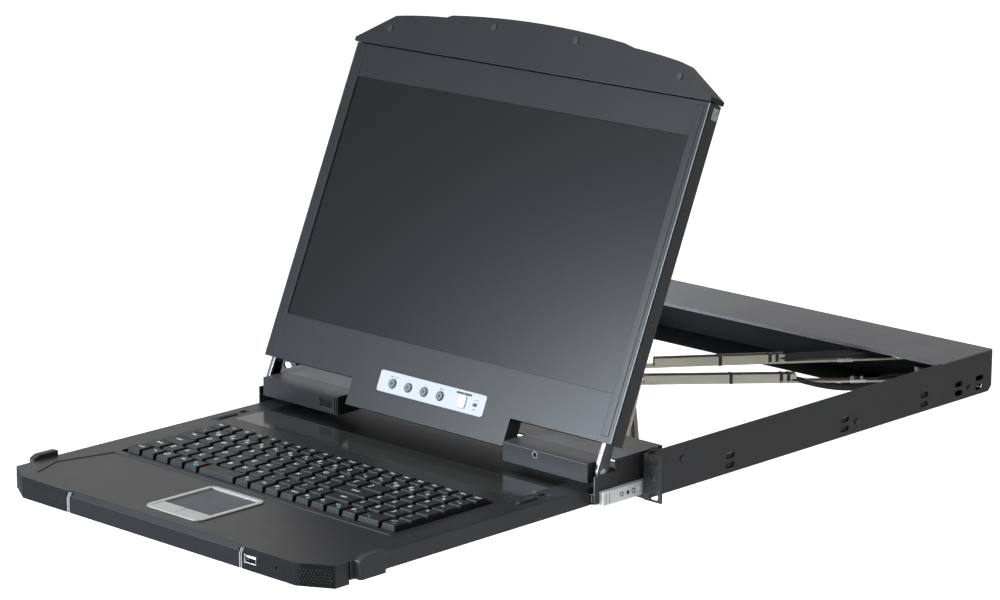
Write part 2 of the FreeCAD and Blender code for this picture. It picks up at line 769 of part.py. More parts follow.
def button_holes():
    y0 = panel_front - 2
    y1 = panel_front + bezel_wall + 1
    holes = [cylinder(menu_button_radius + button_clearance, (x, y0, button_row), (x, y1, button_row))
             for x in menu_button_x]
    half_w = power_button_width / 2 + button_clearance
    half_h = power_button_height / 2 + button_clearance
    holes.append(box(power_button_x - half_w, power_button_x + half_w, y0, y1,
                     button_row - half_h, button_row + half_h))
    return holes


def control_plate():
    plate = rounded_upright(-plate_half_width, plate_half_width, panel_front - 0.2,
                            panel_front + plate_thickness, plate_bottom, plate_bottom + plate_height,
                            plate_corner)
    reset = box(reset_x - reset_size, reset_x + reset_size, panel_front - 1, panel_front + 0.5,
                button_row - reset_size / 2, button_row + reset_size / 2)
    return plate.cut(button_holes() + [reset])


def rounded_upright(x0, x1, y0, y1, z0, z1, radius):
    plate = box(x0, x1, y0, y1, z0, z1)
    edges = [e for e in plate.Edges if abs(e.tangentAt(e.FirstParameter).y) > 0.99]
    return plate.makeFillet(radius, edges)


def menu_button(x):
    seat = panel_front + plate_thickness + button_clearance
    half = menu_button_radius + button_flange
    cap = cylinder(menu_button_radius, (x, panel_front - button_rise, button_row),
                   (x, seat + 0.1, button_row))
    flange = box(x - half, x + half, seat, seat + button_flange_wall,
                 button_row - half, button_row + half)
    return cap.fuse(flange)


def power_button():
    x0 = power_button_x - power_button_width / 2
    x1 = power_button_x + power_button_width / 2
    z0 = button_row - power_button_height / 2
    z1 = button_row + power_button_height / 2
    seat = panel_front + plate_thickness + button_clearance
    cap = rounded_upright(x0, x1, panel_front - button_rise, seat + 0.1, z0, z1, power_button_corner)
    flange = box(x0 - button_flange, x1 + button_flange, seat, seat + button_flange_wall,
                 z0 - button_flange, z1 + button_flange)
    return cap.fuse(flange)


def keyboard_tray():
    """The folded steel pan under the keyboard, with side walls that run inside the carriage."""
    pan = box(-tray_half_width, tray_half_width, tray_front, tray_rear, tray_bottom, shell_top - 0.1)
    hollow = box(-tray_half_width + tray_wall, tray_half_width - tray_wall, tray_front - 1,
                 tray_rear - tray_wall, tray_bottom + tray_wall, shell_top + 1)
    return pan.cut(hollow)


def drawer_outline(inset=0.0, rear=None):
    """The keyboard shell's plan: straight sides, and a front with two chamfered corners."""
    w = bezel_half_width - inset
    f = bezel_front + inset
    a = bezel_flat_half - inset * 0.4
    back = tray_rear - tray_wall if rear is None else rear
    return [(-a, f, 0), (a, f, 0), (w, bezel_front + bezel_chamfer, 0), (w, back, 0),
            (-w, back, 0), (-w, bezel_front + bezel_chamfer, 0)]


def keyboard_shell():
    """The moulded top with the key well, the palm rest recess and seats for the small parts."""
    side_limit = tray_half_width - tray_wall - 0.1
    top = prism(drawer_outline(rear=tray_rear - tray_wall - 0.1), (0, 0, shell_wall))
    top.translate(Vector(0, 0, shell_top - shell_wall))
    nose = prism(drawer_outline(rear=tray_front - 0.2), (0, 0, shell_top - shell_wall - bezel_bottom))
    nose.translate(Vector(0, 0, bezel_bottom))
    nose_hollow = prism(drawer_outline(shell_wall, rear=tray_front + 1),
                        (0, 0, shell_top - shell_wall - bezel_bottom - shell_wall))
    nose_hollow.translate(Vector(0, 0, bezel_bottom + shell_wall))
    well_rim = box(-well_half_width - shell_wall, well_half_width + shell_wall,
                   well_front - shell_wall, well_rear + shell_wall,
                   well_floor - shell_wall, shell_top - shell_wall)
    well = rounded_plate(-well_half_width, well_half_width, well_front, well_rear, well_floor,
                         shell_top + 1, well_corner)
    palm = palm_recess()
    strip_seat = box(-strip_half_width - 0.1, strip_half_width + 0.1, strip_front - 0.1,
                     strip_rear + 0.1, shell_top - strip_thickness, shell_top + 1)
    pad_seat = rounded_plate(touch_left + 1, touch_right - 1, touch_front + 1, touch_rear - 1,
                             shell_top - shell_wall - 1, shell_top + 1, touch_corner - 1)
    shell = top.multiFuse([nose.cut(nose_hollow), well_rim])
    shell = shell.cut([well, palm, strip_seat, pad_seat] + catch_seats() + bezel_cuts())
    return shell.removeSplitter()


def palm_recess():
    """The shallow field of the palm rest, with slanted sides that follow the front corners."""
    front = touch_front - 1
    rear = well_front - 7
    wide = bezel_half_width - 14
    narrow = wide - 14
    depth = palm_recess_depth
    field = prism([(-narrow, front, shell_top - depth), (narrow, front, shell_top - depth),
                   (wide, front + 34, shell_top - depth), (narrow, rear, shell_top - depth),
                   (-narrow, rear, shell_top - depth), (-wide, front + 34, shell_top - depth)],
                  (0, 0, depth + 1))
    return field


def catch_seats():
    seats = []
    for side in (-1, 1):
        x = side * catch_x
        seats.append(box(x - catch_width / 2, x + catch_width / 2, catch_front,
                         catch_front + catch_length + catch_travel, shell_top - 1.2, shell_top + 1))
    return seats


def bezel_cuts():
    """Seats in the front face for the socket, the status light and the two seam strips."""
    y0 = bezel_front - 1
    socket = box(usb_x - usb_width / 2, usb_x + usb_width / 2, y0, bezel_front + usb_depth,
                 usb_z() - usb_height / 2, usb_z() + usb_height / 2)
    light = cylinder(1.2, (status_hole_x, y0, usb_z()), (status_hole_x, bezel_front + 4, usb_z()))
    seams = [box(x - seam_width / 2, x + seam_width / 2, y0, bezel_front + 0.7,
                 bezel_bottom - 1, shell_top - 2.6) for x in seam_x]
    return [socket, light] + seams


def usb_z():
    return (bezel_bottom + shell_top) / 2


def front_socket():
    """The front data socket: a metal shell with its tongue."""
    x0 = usb_x - usb_width / 2 + 0.1
    x1 = usb_x + usb_width / 2 - 0.1
    z0 = usb_z() - usb_height / 2 + 0.1
    z1 = usb_z() + usb_height / 2 - 0.1
    shell = box(x0, x1, bezel_front - 0.4, bezel_front + usb_depth - 0.1, z0, z1)
    mouth = box(x0 + 0.6, x1 - 0.6, bezel_front - 1, bezel_front + usb_depth - 2, z0 + 0.6, z1 - 0.6)
    tongue = box(x0 + 1.5, x1 - 1.5, bezel_front + 1, bezel_front + usb_depth - 1.9, z1 - 2.8, z1 - 1.2)
    return shell.cut(mouth).fuse(tongue)


def side_lug():
    """The guide lug on the drawer's side: it fills the mouth beside the tray when shut."""
    x0 = tray_half_width
    points = [(x0, lug_front, lug_bottom), (lug_outer - 1.5, lug_front + 0.5, lug_bottom),
              (lug_outer, lug_front + 3, lug_bottom), (lug_outer, lug_rear, lug_bottom),
              (x0, lug_rear, lug_bottom)]
    lug = prism(points, (0, 0, lug_top - lug_bottom))
    slant = prism([(x0 - 1, lug_front - 1, lug_top - 4), (x0 - 1, lug_front - 1, lug_top + 1),
                   (x0 - 1, lug_front + lug_slant, lug_top + 1), (x0 - 1, lug_front + lug_slant - 1, lug_top)],
                  (lug_outer - x0 + 3, 0, 0))
    return lug.cut(slant)


def plate_top():
    """The key carrier lies one travel below the resting keys, and a little more."""
    return key_top - key_height - key_travel - 0.2


def drawer_runner():
    """The steel runner on the tray's side; it reaches back past the tray."""
    return box(tray_half_width, tray_half_width + runner_width, runner_front, runner_rear,
               runner_bottom, runner_bottom + runner_height)


def drawer_guide():
    """The channel inside the carriage wall in which the tray's runner slides."""
    low = runner_bottom - runner_gap
    high = runner_bottom + runner_height + runner_gap
    outer = box(tray_half_width + runner_gap * 3, carriage_inner_half, guide_front, guide_rear,
                low - guide_wall, high + guide_wall)
    groove = box(tray_half_width, carriage_inner_half - guide_wall, guide_front - 1, guide_rear + 1,
                 low, high)
    return outer.cut(groove)


def keyboard_plate():
    """The key carrier on the floor of the well, with a guide slot for each row of key stems."""
    plate = rounded_plate(-well_half_width + 0.3, well_half_width - 0.3, well_front + 0.3,
                          well_rear - 0.3, well_floor, plate_top(), well_corner)
    half = key_stem / 2 + key_stem_gap
    guides = []
    for index in range(len(key_rows())):
        centres = key_centres(index)
        y = centres[0][1]
        guides.append(box(centres[0][0] - half, centres[-1][0] + half, y - half, y + half,
                          well_floor - 1, plate_top() + 1))
    return plate.cut(guides)


def key_rows():
    """Key widths in units of the pitch from left to right, rows from back to front."""
    pad = [1, 1, 1, 1]
    return [
        [1] * function_key_count,
        [1] * 14 + pad,
        [1.5] + [1] * 11 + [1.5] + pad,
        [1.75] + [1] * 10 + [2.25] + pad,
        [1.25] + [1] * 11 + [1.75] + pad,
        [1] * 5 + [2.5] + [1] * 8 + [1.5, 1],
    ]


SPACE_BAR = (5, 5)
KEY_ROW_NAMES = ("function_keys", "number_keys", "upper_letter_keys", "home_letter_keys",
                 "lower_letter_keys", "bottom_row_keys")


def key_spans(index):
    """The left and right ends of every key in a row."""
    spans = []
    pitch = function_key_pitch if index == 0 else key_pitch
    x = -keyboard_half_width
    for width in key_rows()[index]:
        spans.append((x + key_gap / 2, x + width * pitch - key_gap / 2))
        x += width * pitch
    return spans


def key_row_ends(index):
    """The front and back edges of a row of key caps."""
    set_back = 0 if index == 0 else function_row_depth + (index - 1) * key_row_depth
    depth = (function_row_depth if index == 0 else key_row_depth) - key_gap
    y_back = well_rear - well_end_margin - key_gap / 2 - set_back
    return y_back - depth, y_back


def key_centres(index):
    y0, y1 = key_row_ends(index)
    return [((x0 + x1) / 2, (y0 + y1) / 2) for x0, x1 in key_spans(index)]


def key(index, number):
    """One key: a cap that tapers to a smaller top, on a square stem."""
    y0, y1 = key_row_ends(index)
    x0, x1 = key_spans(index)[number]
    x, y = key_centres(index)[number]
    bottom = key_top - key_height
    half = key_stem / 2
    stem = box(x - half, x + half, y - half, y + half, plate_top() - key_stem_engagement, bottom)
    return key_cap(x0, x1, y0, y1, bottom).fuse(stem)


def key_group(index, wanted):
    return Part.makeCompound([key(index, number) for number in wanted])


def key_row(index):
    """A row of keys; the space bar is left to its own node."""
    count = len(key_rows()[index])
    return key_group(index, [n for n in range(count) if (index, n) != SPACE_BAR])


def key_cap(x0, x1, y0, y1, bottom):
    """A block with flat sides that lean in towards its top, most of all at the front."""
    t = key_taper
    cap = Part.makeWedge(x0, bottom, -y1, -y1 + t * 0.5, x0 + t,
                         x1, key_top, -y0, -y0 - t * 1.3, x1 - t)
    cap.rotate(Vector(0, 0, 0), Vector(1, 0, 0), 90)
    return cap


def touch_frame():
    frame = rounded_plate(touch_left, touch_right, touch_front, touch_rear,
                          shell_top - palm_recess_depth, shell_top + 0.5, touch_corner)
    w = touch_frame_width
    hole = box(touch_left + w, touch_right - w, touch_front + w, touch_rear - w, shell_top - 3, shell_top + 2)
    skirt = rounded_plate(touch_left + 1.2, touch_right - 1.2, touch_front + 1.2, touch_rear - 1.2,
                          shell_top - shell_wall - 0.6, shell_top - palm_recess_depth,
                          touch_corner - 1.2)
    return frame.fuse(skirt).cut(hole).removeSplitter()


def touch_pad():
    w = touch_frame_width + touch_gap
    y0 = touch_front + touch_frame_width + touch_button_depth + 1.0
    pad = box(touch_left + w, touch_right - w, y0, touch_rear - w,
              shell_top - shell_wall - 0.6, shell_top - touch_pad_depth + 0.6)
    base = box(touch_left + 1.4, touch_right - 1.4, touch_front + 1.4, touch_rear - 1.4,
               shell_top - shell_wall - 2.4, shell_top - shell_wall - 0.6)
    return pad.fuse(base).removeSplitter()


def touch_button(side):
    w = touch_frame_width + touch_gap
    middle = (touch_left + touch_right) / 2
    x0, x1 = (touch_left + w, middle - 0.3) if side < 0 else (middle + 0.3, touch_right - w)
    y0 = touch_front + w
    return box(x0, x1, y0, y0 + touch_button_depth, shell_top - 2.3, shell_top + 0.3)


def status_strip():
    return box(-strip_half_width, strip_half_width, strip_front, strip_rear,
               shell_top - strip_thickness, shell_top + 0.1)


def release_catch(side):
    x = side * catch_x
    base = box(x - catch_width / 2 + 0.3, x + catch_width / 2 - 0.3, catch_front + 0.3,
               catch_front + catch_length, shell_top - 1.1, shell_top)
    ribs = [box(x - catch_width / 2 + 1, x + catch_width / 2 - 1, y, y + 1.2, shell_top,
                shell_top + catch_rise) for y in [catch_front + 4 + 3.2 * i for i in range(8)]]
    return base.multiFuse(ribs)


def arm_angle(reach):
    """The angle between a link and the Y axis when the carriage is pulled out."""
    return math.degrees(math.acos((arm_station_rear - arm_station_front) / (2 * reach)))


def arm_link(reach, mid, side, near_clear, far_clear):
    """A link along +X from the origin: a channel between two straps that carry the pivots.

    The rear links lie over the middle plane of their arm and the front links under it,
    so they can fold flat against each other.
    """
    height = link_height(side)
    z_strap = mid + arm_strap_gap / 2 if side > 0 else mid - arm_strap_gap / 2 - arm_strap
    low = link_low(mid, side)
    half = arm_width / 2
    outer = box(near_clear, reach - far_clear, -half, half, low, low + height)
    inner = box(near_clear - 1, reach - far_clear + 1, -half + arm_wall, half - arm_wall,
                low + arm_wall, low + height + 1)
    strap_half = arm_strap_width / 2
    strap = box(0, reach, -strap_half, strap_half, z_strap, z_strap + arm_strap)
    eyes = [octagon(x, 0, z_strap, z_strap + arm_strap, strap_half) for x in (0, reach)]
    channel = outer.cut(inner)
    strap_cut = box(near_clear + arm_strap_overlap, reach - far_clear - arm_strap_overlap,
                    -strap_half - 1, strap_half + 1, z_strap - 1, z_strap + arm_strap + 1)
    straps = strap.multiFuse(eyes).cut(strap_cut)
    return channel.fuse(straps)


def link_height(side):
    return rear_link_height if side > 0 else front_link_height


def link_low(mid, side):
    """The underside of a link's channel."""
    return mid + arm_strap_gap / 2 if side > 0 else mid - arm_strap_gap / 2 - front_link_height


def arm_cable(reach, mid, side, near_clear, far_clear):
    """The cable bundle that lies along the channel."""
    radius = rear_cable_radius if side > 0 else front_cable_radius
    z = link_low(mid, side) + arm_wall + radius + cable_seat_gap
    inset = arm_strap_overlap + 2
    return cylinder(radius, (near_clear + inset, 0, z), (reach - far_clear - inset, 0, z))


def place_arm(shape, x, y, angle):
    placed = shape.copy()
    placed.rotate(Vector(0, 0, 0), Vector(0, 0, 1), angle)
    placed.translate(Vector(x, y, 0))
    return placed


def rear_link(x, reach, mid):
    """The link pinned to the chassis: it points forward and left to the elbow."""
    link = arm_link(reach, mid, 1, arm_bracket_clear, arm_elbow_clear)
    hole = cylinder(arm_pin_radius + pin_clearance, (0, 0, mid - 5), (0, 0, mid + 5))
    pin = cylinder(arm_pin_radius, (reach, 0, mid - 2.4), (reach, 0, mid + 2.4))
    return place_arm(link.cut(hole).fuse(pin), x, arm_station_rear, -90 - arm_angle(reach))


def front_link(x, reach, mid):
    """The link from the elbow back to the carriage, where its pin runs in a slot."""
    link = arm_link(reach, mid, -1, arm_elbow_clear, arm_slot_clear)
    hole = cylinder(arm_pin_radius + pin_clearance, (0, 0, mid - 5), (0, 0, mid + 5))
    z_pin = mid - arm_strap_gap / 2 - arm_strap
    pin = cylinder(arm_pin_radius, (reach, 0, z_pin - carriage_wall - 0.9), (reach, 0, z_pin + 0.5))
    return place_front(link.cut(hole).fuse(pin), x, reach)


def place_front(shape, x, reach):
    """Takes a front link's shape to its elbow, turned towards the carriage."""
    lean = arm_angle(reach)
    elbow_x = x - reach * math.sin(math.radians(lean))
    elbow_y = (arm_station_rear + arm_station_front) / 2
    return place_arm(shape, elbow_x, elbow_y, -90 + lean)


def rear_cable(x, reach, mid):
    cable = arm_cable(reach, mid, 1, arm_bracket_clear, arm_elbow_clear)
    return place_arm(cable, x, arm_station_rear, -90 - arm_angle(reach))


def front_cable(x, reach, mid):
    return place_front(arm_cable(reach, mid, -1, arm_elbow_clear, arm_slot_clear), x, reach)


def all_parts():
    upper = (upper_arm_x, upper_arm_reach, upper_arm_mid)
    lower = (lower_arm_x, lower_arm_reach, lower_arm_mid)
    parts = {
        "right_rail": right_rail(),
        "left_rail": mirrored(right_rail()),
        "rail_screws": rail_screws(),
        "rear_top_cover": rear_top_cover(),
        "rear_bottom_plate": rear_bottom_plate(),
        "rear_panel": rear_panel(),
        "rear_sockets": rear_sockets(),
        "power_switch": power_switch(),
        "cable_bulkhead": cable_bulkhead(),
        "arm_brackets": arm_brackets(),
        "slide_channels": both_sides(slide_channel()),
        "slide_bars": both_sides(slide_bar()),
        "carriage_frame": carriage_frame(),
        "right_hinge_cover": hinge_cover(False),
        "left_hinge_cover": mirrored(hinge_cover(True)),
        "hinge_pins": both_sides(hinge_pin()),
        "hinge_arms": lean_panel(both_sides(hinge_arm())),
        "panel_back_cover": lean_panel(panel_back_cover()),
        "panel_bezel": lean_panel(panel_bezel()),
        "screen_module": lean_panel(screen_module()),
        "panel_handle": lean_panel(panel_handle()),
        "panel_screws": lean_panel(panel_screws()),
        "panel_latches": lean_panel(both_sides(panel_latch())),
        "control_plate": lean_panel(control_plate()),
        "power_button": lean_panel(power_button()),
        "keyboard_tray": keyboard_tray(),
        "keyboard_shell": keyboard_shell(),
        "front_socket": front_socket(),
        "side_lugs": both_sides(side_lug()),
        "drawer_runners": both_sides(drawer_runner()),
        "drawer_guides": both_sides(drawer_guide()),
        "keyboard_plate": keyboard_plate(),
        "touchpad_frame": touch_frame(),
        "touchpad": touch_pad(),
        "touchpad_left_button": touch_button(-1),
        "touchpad_right_button": touch_button(1),
        "status_strip": status_strip(),
        "left_release_catch": release_catch(-1),
        "right_release_catch": release_catch(1),
        "upper_rear_link": rear_link(*upper),
        "upper_front_link": front_link(*upper),
        "lower_rear_link": rear_link(*lower),
        "lower_front_link": front_link(*lower),
        "upper_rear_cables": rear_cable(*upper),
        "upper_front_cables": front_cable(*upper),
        "lower_rear_cables": rear_cable(*lower),
        "lower_front_cables": front_cable(*lower),
    }
    for number, x in enumerate(menu_button_x, 1):
        parts[f"menu_button_{number}"] = lean_panel(menu_button(x))
    for index, name in enumerate(KEY_ROW_NAMES):
        parts[name] = key_row(index)
    parts["space_bar"] = key_group(SPACE_BAR[0], [SPACE_BAR[1]])
    return parts


def main():
    os.makedirs("parts", exist_ok=True)
    for name, shape in all_parts().items():
        if not shape.isValid():
            raise ValueError(f"{name} is not a valid shape")
        shape.exportStep(f"parts/{name}.step")


main()
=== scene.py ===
"""Dresses the rackmount screen and keyboard drawer: finishes, rounded edges and the small parts.

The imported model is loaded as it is. Each operator makes one group of pieces, and every
piece rides on the body that carries it. All sizes are in metres.
"""

import json
import math

import bmesh
import bpy
from bpy.props import FloatProperty, FloatVectorProperty, IntProperty, PointerProperty
from bpy.types import Operator, Panel, PropertyGroup
from mathutils import Matrix, Vector
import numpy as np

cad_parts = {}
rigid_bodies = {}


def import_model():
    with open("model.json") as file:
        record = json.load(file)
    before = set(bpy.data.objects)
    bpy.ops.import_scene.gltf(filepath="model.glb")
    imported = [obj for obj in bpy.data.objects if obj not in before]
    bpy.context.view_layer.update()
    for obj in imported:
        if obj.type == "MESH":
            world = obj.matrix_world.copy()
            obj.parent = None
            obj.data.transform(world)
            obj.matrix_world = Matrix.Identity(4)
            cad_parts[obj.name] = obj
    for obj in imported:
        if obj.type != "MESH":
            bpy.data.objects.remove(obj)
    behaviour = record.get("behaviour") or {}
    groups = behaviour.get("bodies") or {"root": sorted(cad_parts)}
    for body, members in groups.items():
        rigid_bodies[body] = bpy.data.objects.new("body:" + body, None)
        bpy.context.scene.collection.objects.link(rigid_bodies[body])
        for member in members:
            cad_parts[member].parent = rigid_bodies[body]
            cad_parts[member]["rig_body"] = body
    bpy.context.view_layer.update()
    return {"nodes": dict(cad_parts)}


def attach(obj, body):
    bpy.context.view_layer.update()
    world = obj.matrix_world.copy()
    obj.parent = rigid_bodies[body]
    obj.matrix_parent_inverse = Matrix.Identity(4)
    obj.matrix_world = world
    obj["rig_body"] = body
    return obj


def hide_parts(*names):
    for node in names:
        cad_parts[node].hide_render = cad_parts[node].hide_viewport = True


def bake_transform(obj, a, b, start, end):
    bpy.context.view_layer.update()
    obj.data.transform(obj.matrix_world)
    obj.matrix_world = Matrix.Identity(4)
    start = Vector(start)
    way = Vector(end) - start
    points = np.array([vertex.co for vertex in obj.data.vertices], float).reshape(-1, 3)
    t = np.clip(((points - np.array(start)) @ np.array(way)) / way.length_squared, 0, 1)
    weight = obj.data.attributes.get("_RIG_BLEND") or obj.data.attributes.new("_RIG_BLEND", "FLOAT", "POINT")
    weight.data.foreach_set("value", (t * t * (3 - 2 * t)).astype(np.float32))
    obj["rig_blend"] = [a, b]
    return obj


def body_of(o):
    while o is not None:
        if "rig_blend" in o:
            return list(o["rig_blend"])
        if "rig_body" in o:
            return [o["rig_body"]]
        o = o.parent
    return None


bl_info = {
    "name": "Rackmount Console Drawer",
    "version": (1, 0, 0),
    "blender": (4, 5, 0),
    "location": "3D View > Sidebar > Console",
    "description": "Builds the visible pieces of a rackmount screen and keyboard drawer",
    "category": "Object",
}

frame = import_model()


def colour_property(name, description, default):
    """A colour that the user may change."""
    return FloatVectorProperty(name=name, description=description, default=default,
                               subtype="COLOR", size=3, min=0.0, max=1.0)


def length_property(name, description, default):
    """A size that the user may change."""
    return FloatProperty(name=name, description=description, default=default, min=0.0,
                         precision=4, unit="LENGTH")


class ConsoleSizes(PropertyGroup):
    """Sizes of the rounding and of the keys' details."""
    sheet_edge: length_property("Sheet edge", "Rounding on folded and cut steel edges", 0.0003)
    moulded_edge: length_property("Moulded edge", "Rounding on moulded housings", 0.0007)
    key_edge: length_property("Key edge", "Rounding on the key caps", 0.0007)
    key_dish: length_property("Key dish", "Depth of the hollow in each key's top", 0.0003)
    legend_height: length_property("Legend height", "Height of the letters on the keys", 0.0066)
    edge_steps: IntProperty(name="Edge steps", description="Segments in each rounded edge",
                            default=2, min=1, max=4)


class ConsoleColours(PropertyGroup):
    """Base colours of the main finishes."""
    coated_steel: colour_property("Coated steel", "Powder coat on the rails and the tray",
                                  (0.036, 0.036, 0.038))
    panel_plastic: colour_property("Panel plastic", "Moulded screen surround and grip",
                                   (0.012, 0.0122, 0.0135))
    shell_plastic: colour_property("Shell plastic", "Moulded top of the keyboard drawer",
                                   (0.021, 0.021, 0.022))
    key_plastic: colour_property("Key plastic", "Key caps", (0.016, 0.016, 0.017))
    silver_plastic: colour_property("Silver plastic", "Touchpad frame and its buttons",
                                    (0.50, 0.50, 0.48))
    bright_steel: colour_property("Bright steel", "Slides and hinge arms", (0.66, 0.66, 0.65))
    warm_steel: colour_property("Warm steel", "Plated cable arms", (0.56, 0.53, 0.44))
    screen_glass: colour_property("Screen glass", "The dark display", (0.004, 0.004, 0.0043))
    legend_ink: colour_property("Legend ink", "Letters on the keys", (0.88, 0.89, 0.88))
    control_plate: colour_property("Control plate", "Pale plate under the menu buttons",
                                   (0.46, 0.475, 0.485))


# Finishes: the depth of their fine relief, how much finer their gloss varies than their colour,
# and the relief of the main kinds of surface
GRAIN_DEPTH = 0.00004
GLOSS_FINENESS = 3.1
COAT_GRAIN = {"grain": 0.5, "grain_scale": 900.0}
MOULD_GRAIN = {"grain": 0.6, "grain_scale": 1300.0}
NO_GRAIN = {"grain": 0.0, "uneven": 0.0}


def shader_nodes(name):
    """A material with only a shader and its output."""
    material = bpy.data.materials.get(name) or bpy.data.materials.new(name)
    material.use_nodes = True
    tree = material.node_tree
    tree.nodes.clear()
    output = tree.nodes.new("ShaderNodeOutputMaterial")
    shader = tree.nodes.new("ShaderNodeBsdfPrincipled")
    tree.links.new(shader.outputs["BSDF"], output.inputs["Surface"])
    return material, tree, shader


def noise(tree, scale, stretch, detail=3.0):
    """Noise that is fixed to the piece, drawn out along its axes by the stretch."""
    coordinate = tree.nodes.new("ShaderNodeTexCoord")
    mapping = tree.nodes.new("ShaderNodeMapping")
    mapping.inputs["Scale"].default_value = stretch
    texture = tree.nodes.new("ShaderNodeTexNoise")
    texture.inputs["Scale"].default_value = scale
    texture.inputs["Detail"].default_value = detail
    tree.links.new(coordinate.outputs["Object"], mapping.inputs["Vector"])
    tree.links.new(mapping.outputs["Vector"], texture.inputs["Vector"])
    return texture.outputs["Fac"]


def spread(tree, source, low, high):
    """The middle half of the noise's range, spread between two values."""
    ranged = tree.nodes.new("ShaderNodeMapRange")
    ranged.inputs["From Min"].default_value = 0.25
    ranged.inputs["From Max"].default_value = 0.75
    ranged.inputs["To Min"].default_value = low
    ranged.inputs["To Max"].default_value = high
    tree.links.new(source, ranged.inputs["Value"])
    return ranged.outputs["Result"]


def finish(name, colour, roughness, metallic=0.0, mottle=0.06, mottle_scale=18.0, grain=0.25,
           grain_scale=1500.0, stretch=(1, 1, 1), level=0.5, uneven=0.1):
    """A surface with colour variation, uneven gloss and fine relief from object coordinates."""
    material, tree, shader = shader_nodes(name)
    ramp = tree.nodes.new("ShaderNodeValToRGB")
    dark, light = ramp.color_ramp.elements
    dark.position = 0.3
    dark.color = tuple(value * (1 - mottle) for value in colour) + (1.0,)
    light.position = 0.7
    light.color = tuple(min(1.0, value * (1 + mottle)) for value in colour) + (1.0,)
    tree.links.new(noise(tree, mottle_scale, stretch), ramp.inputs["Fac"])
    tree.links.new(ramp.outputs["Color"], shader.inputs["Base Color"])
    shader.inputs["Roughness"].default_value = roughness
    if uneven:
        gloss = spread(tree, noise(tree, mottle_scale * GLOSS_FINENESS, stretch),
                       roughness * (1 - uneven), min(1.0, roughness * (1 + uneven)))
        tree.links.new(gloss, shader.inputs["Roughness"])
    shader.inputs["Metallic"].default_value = metallic
    shader.inputs["Specular IOR Level"].default_value = level
    if grain:
        bump = tree.nodes.new("ShaderNodeBump")
        bump.inputs["Strength"].default_value = grain
        bump.inputs["Distance"].default_value = GRAIN_DEPTH
        tree.links.new(noise(tree, grain_scale, stretch, 2.0), bump.inputs["Height"])
        tree.links.new(bump.outputs["Normal"], shader.inputs["Normal"])


def scaled(colour, factor):
    """The same colour, lighter or darker."""
    return tuple(value * factor for value in colour)


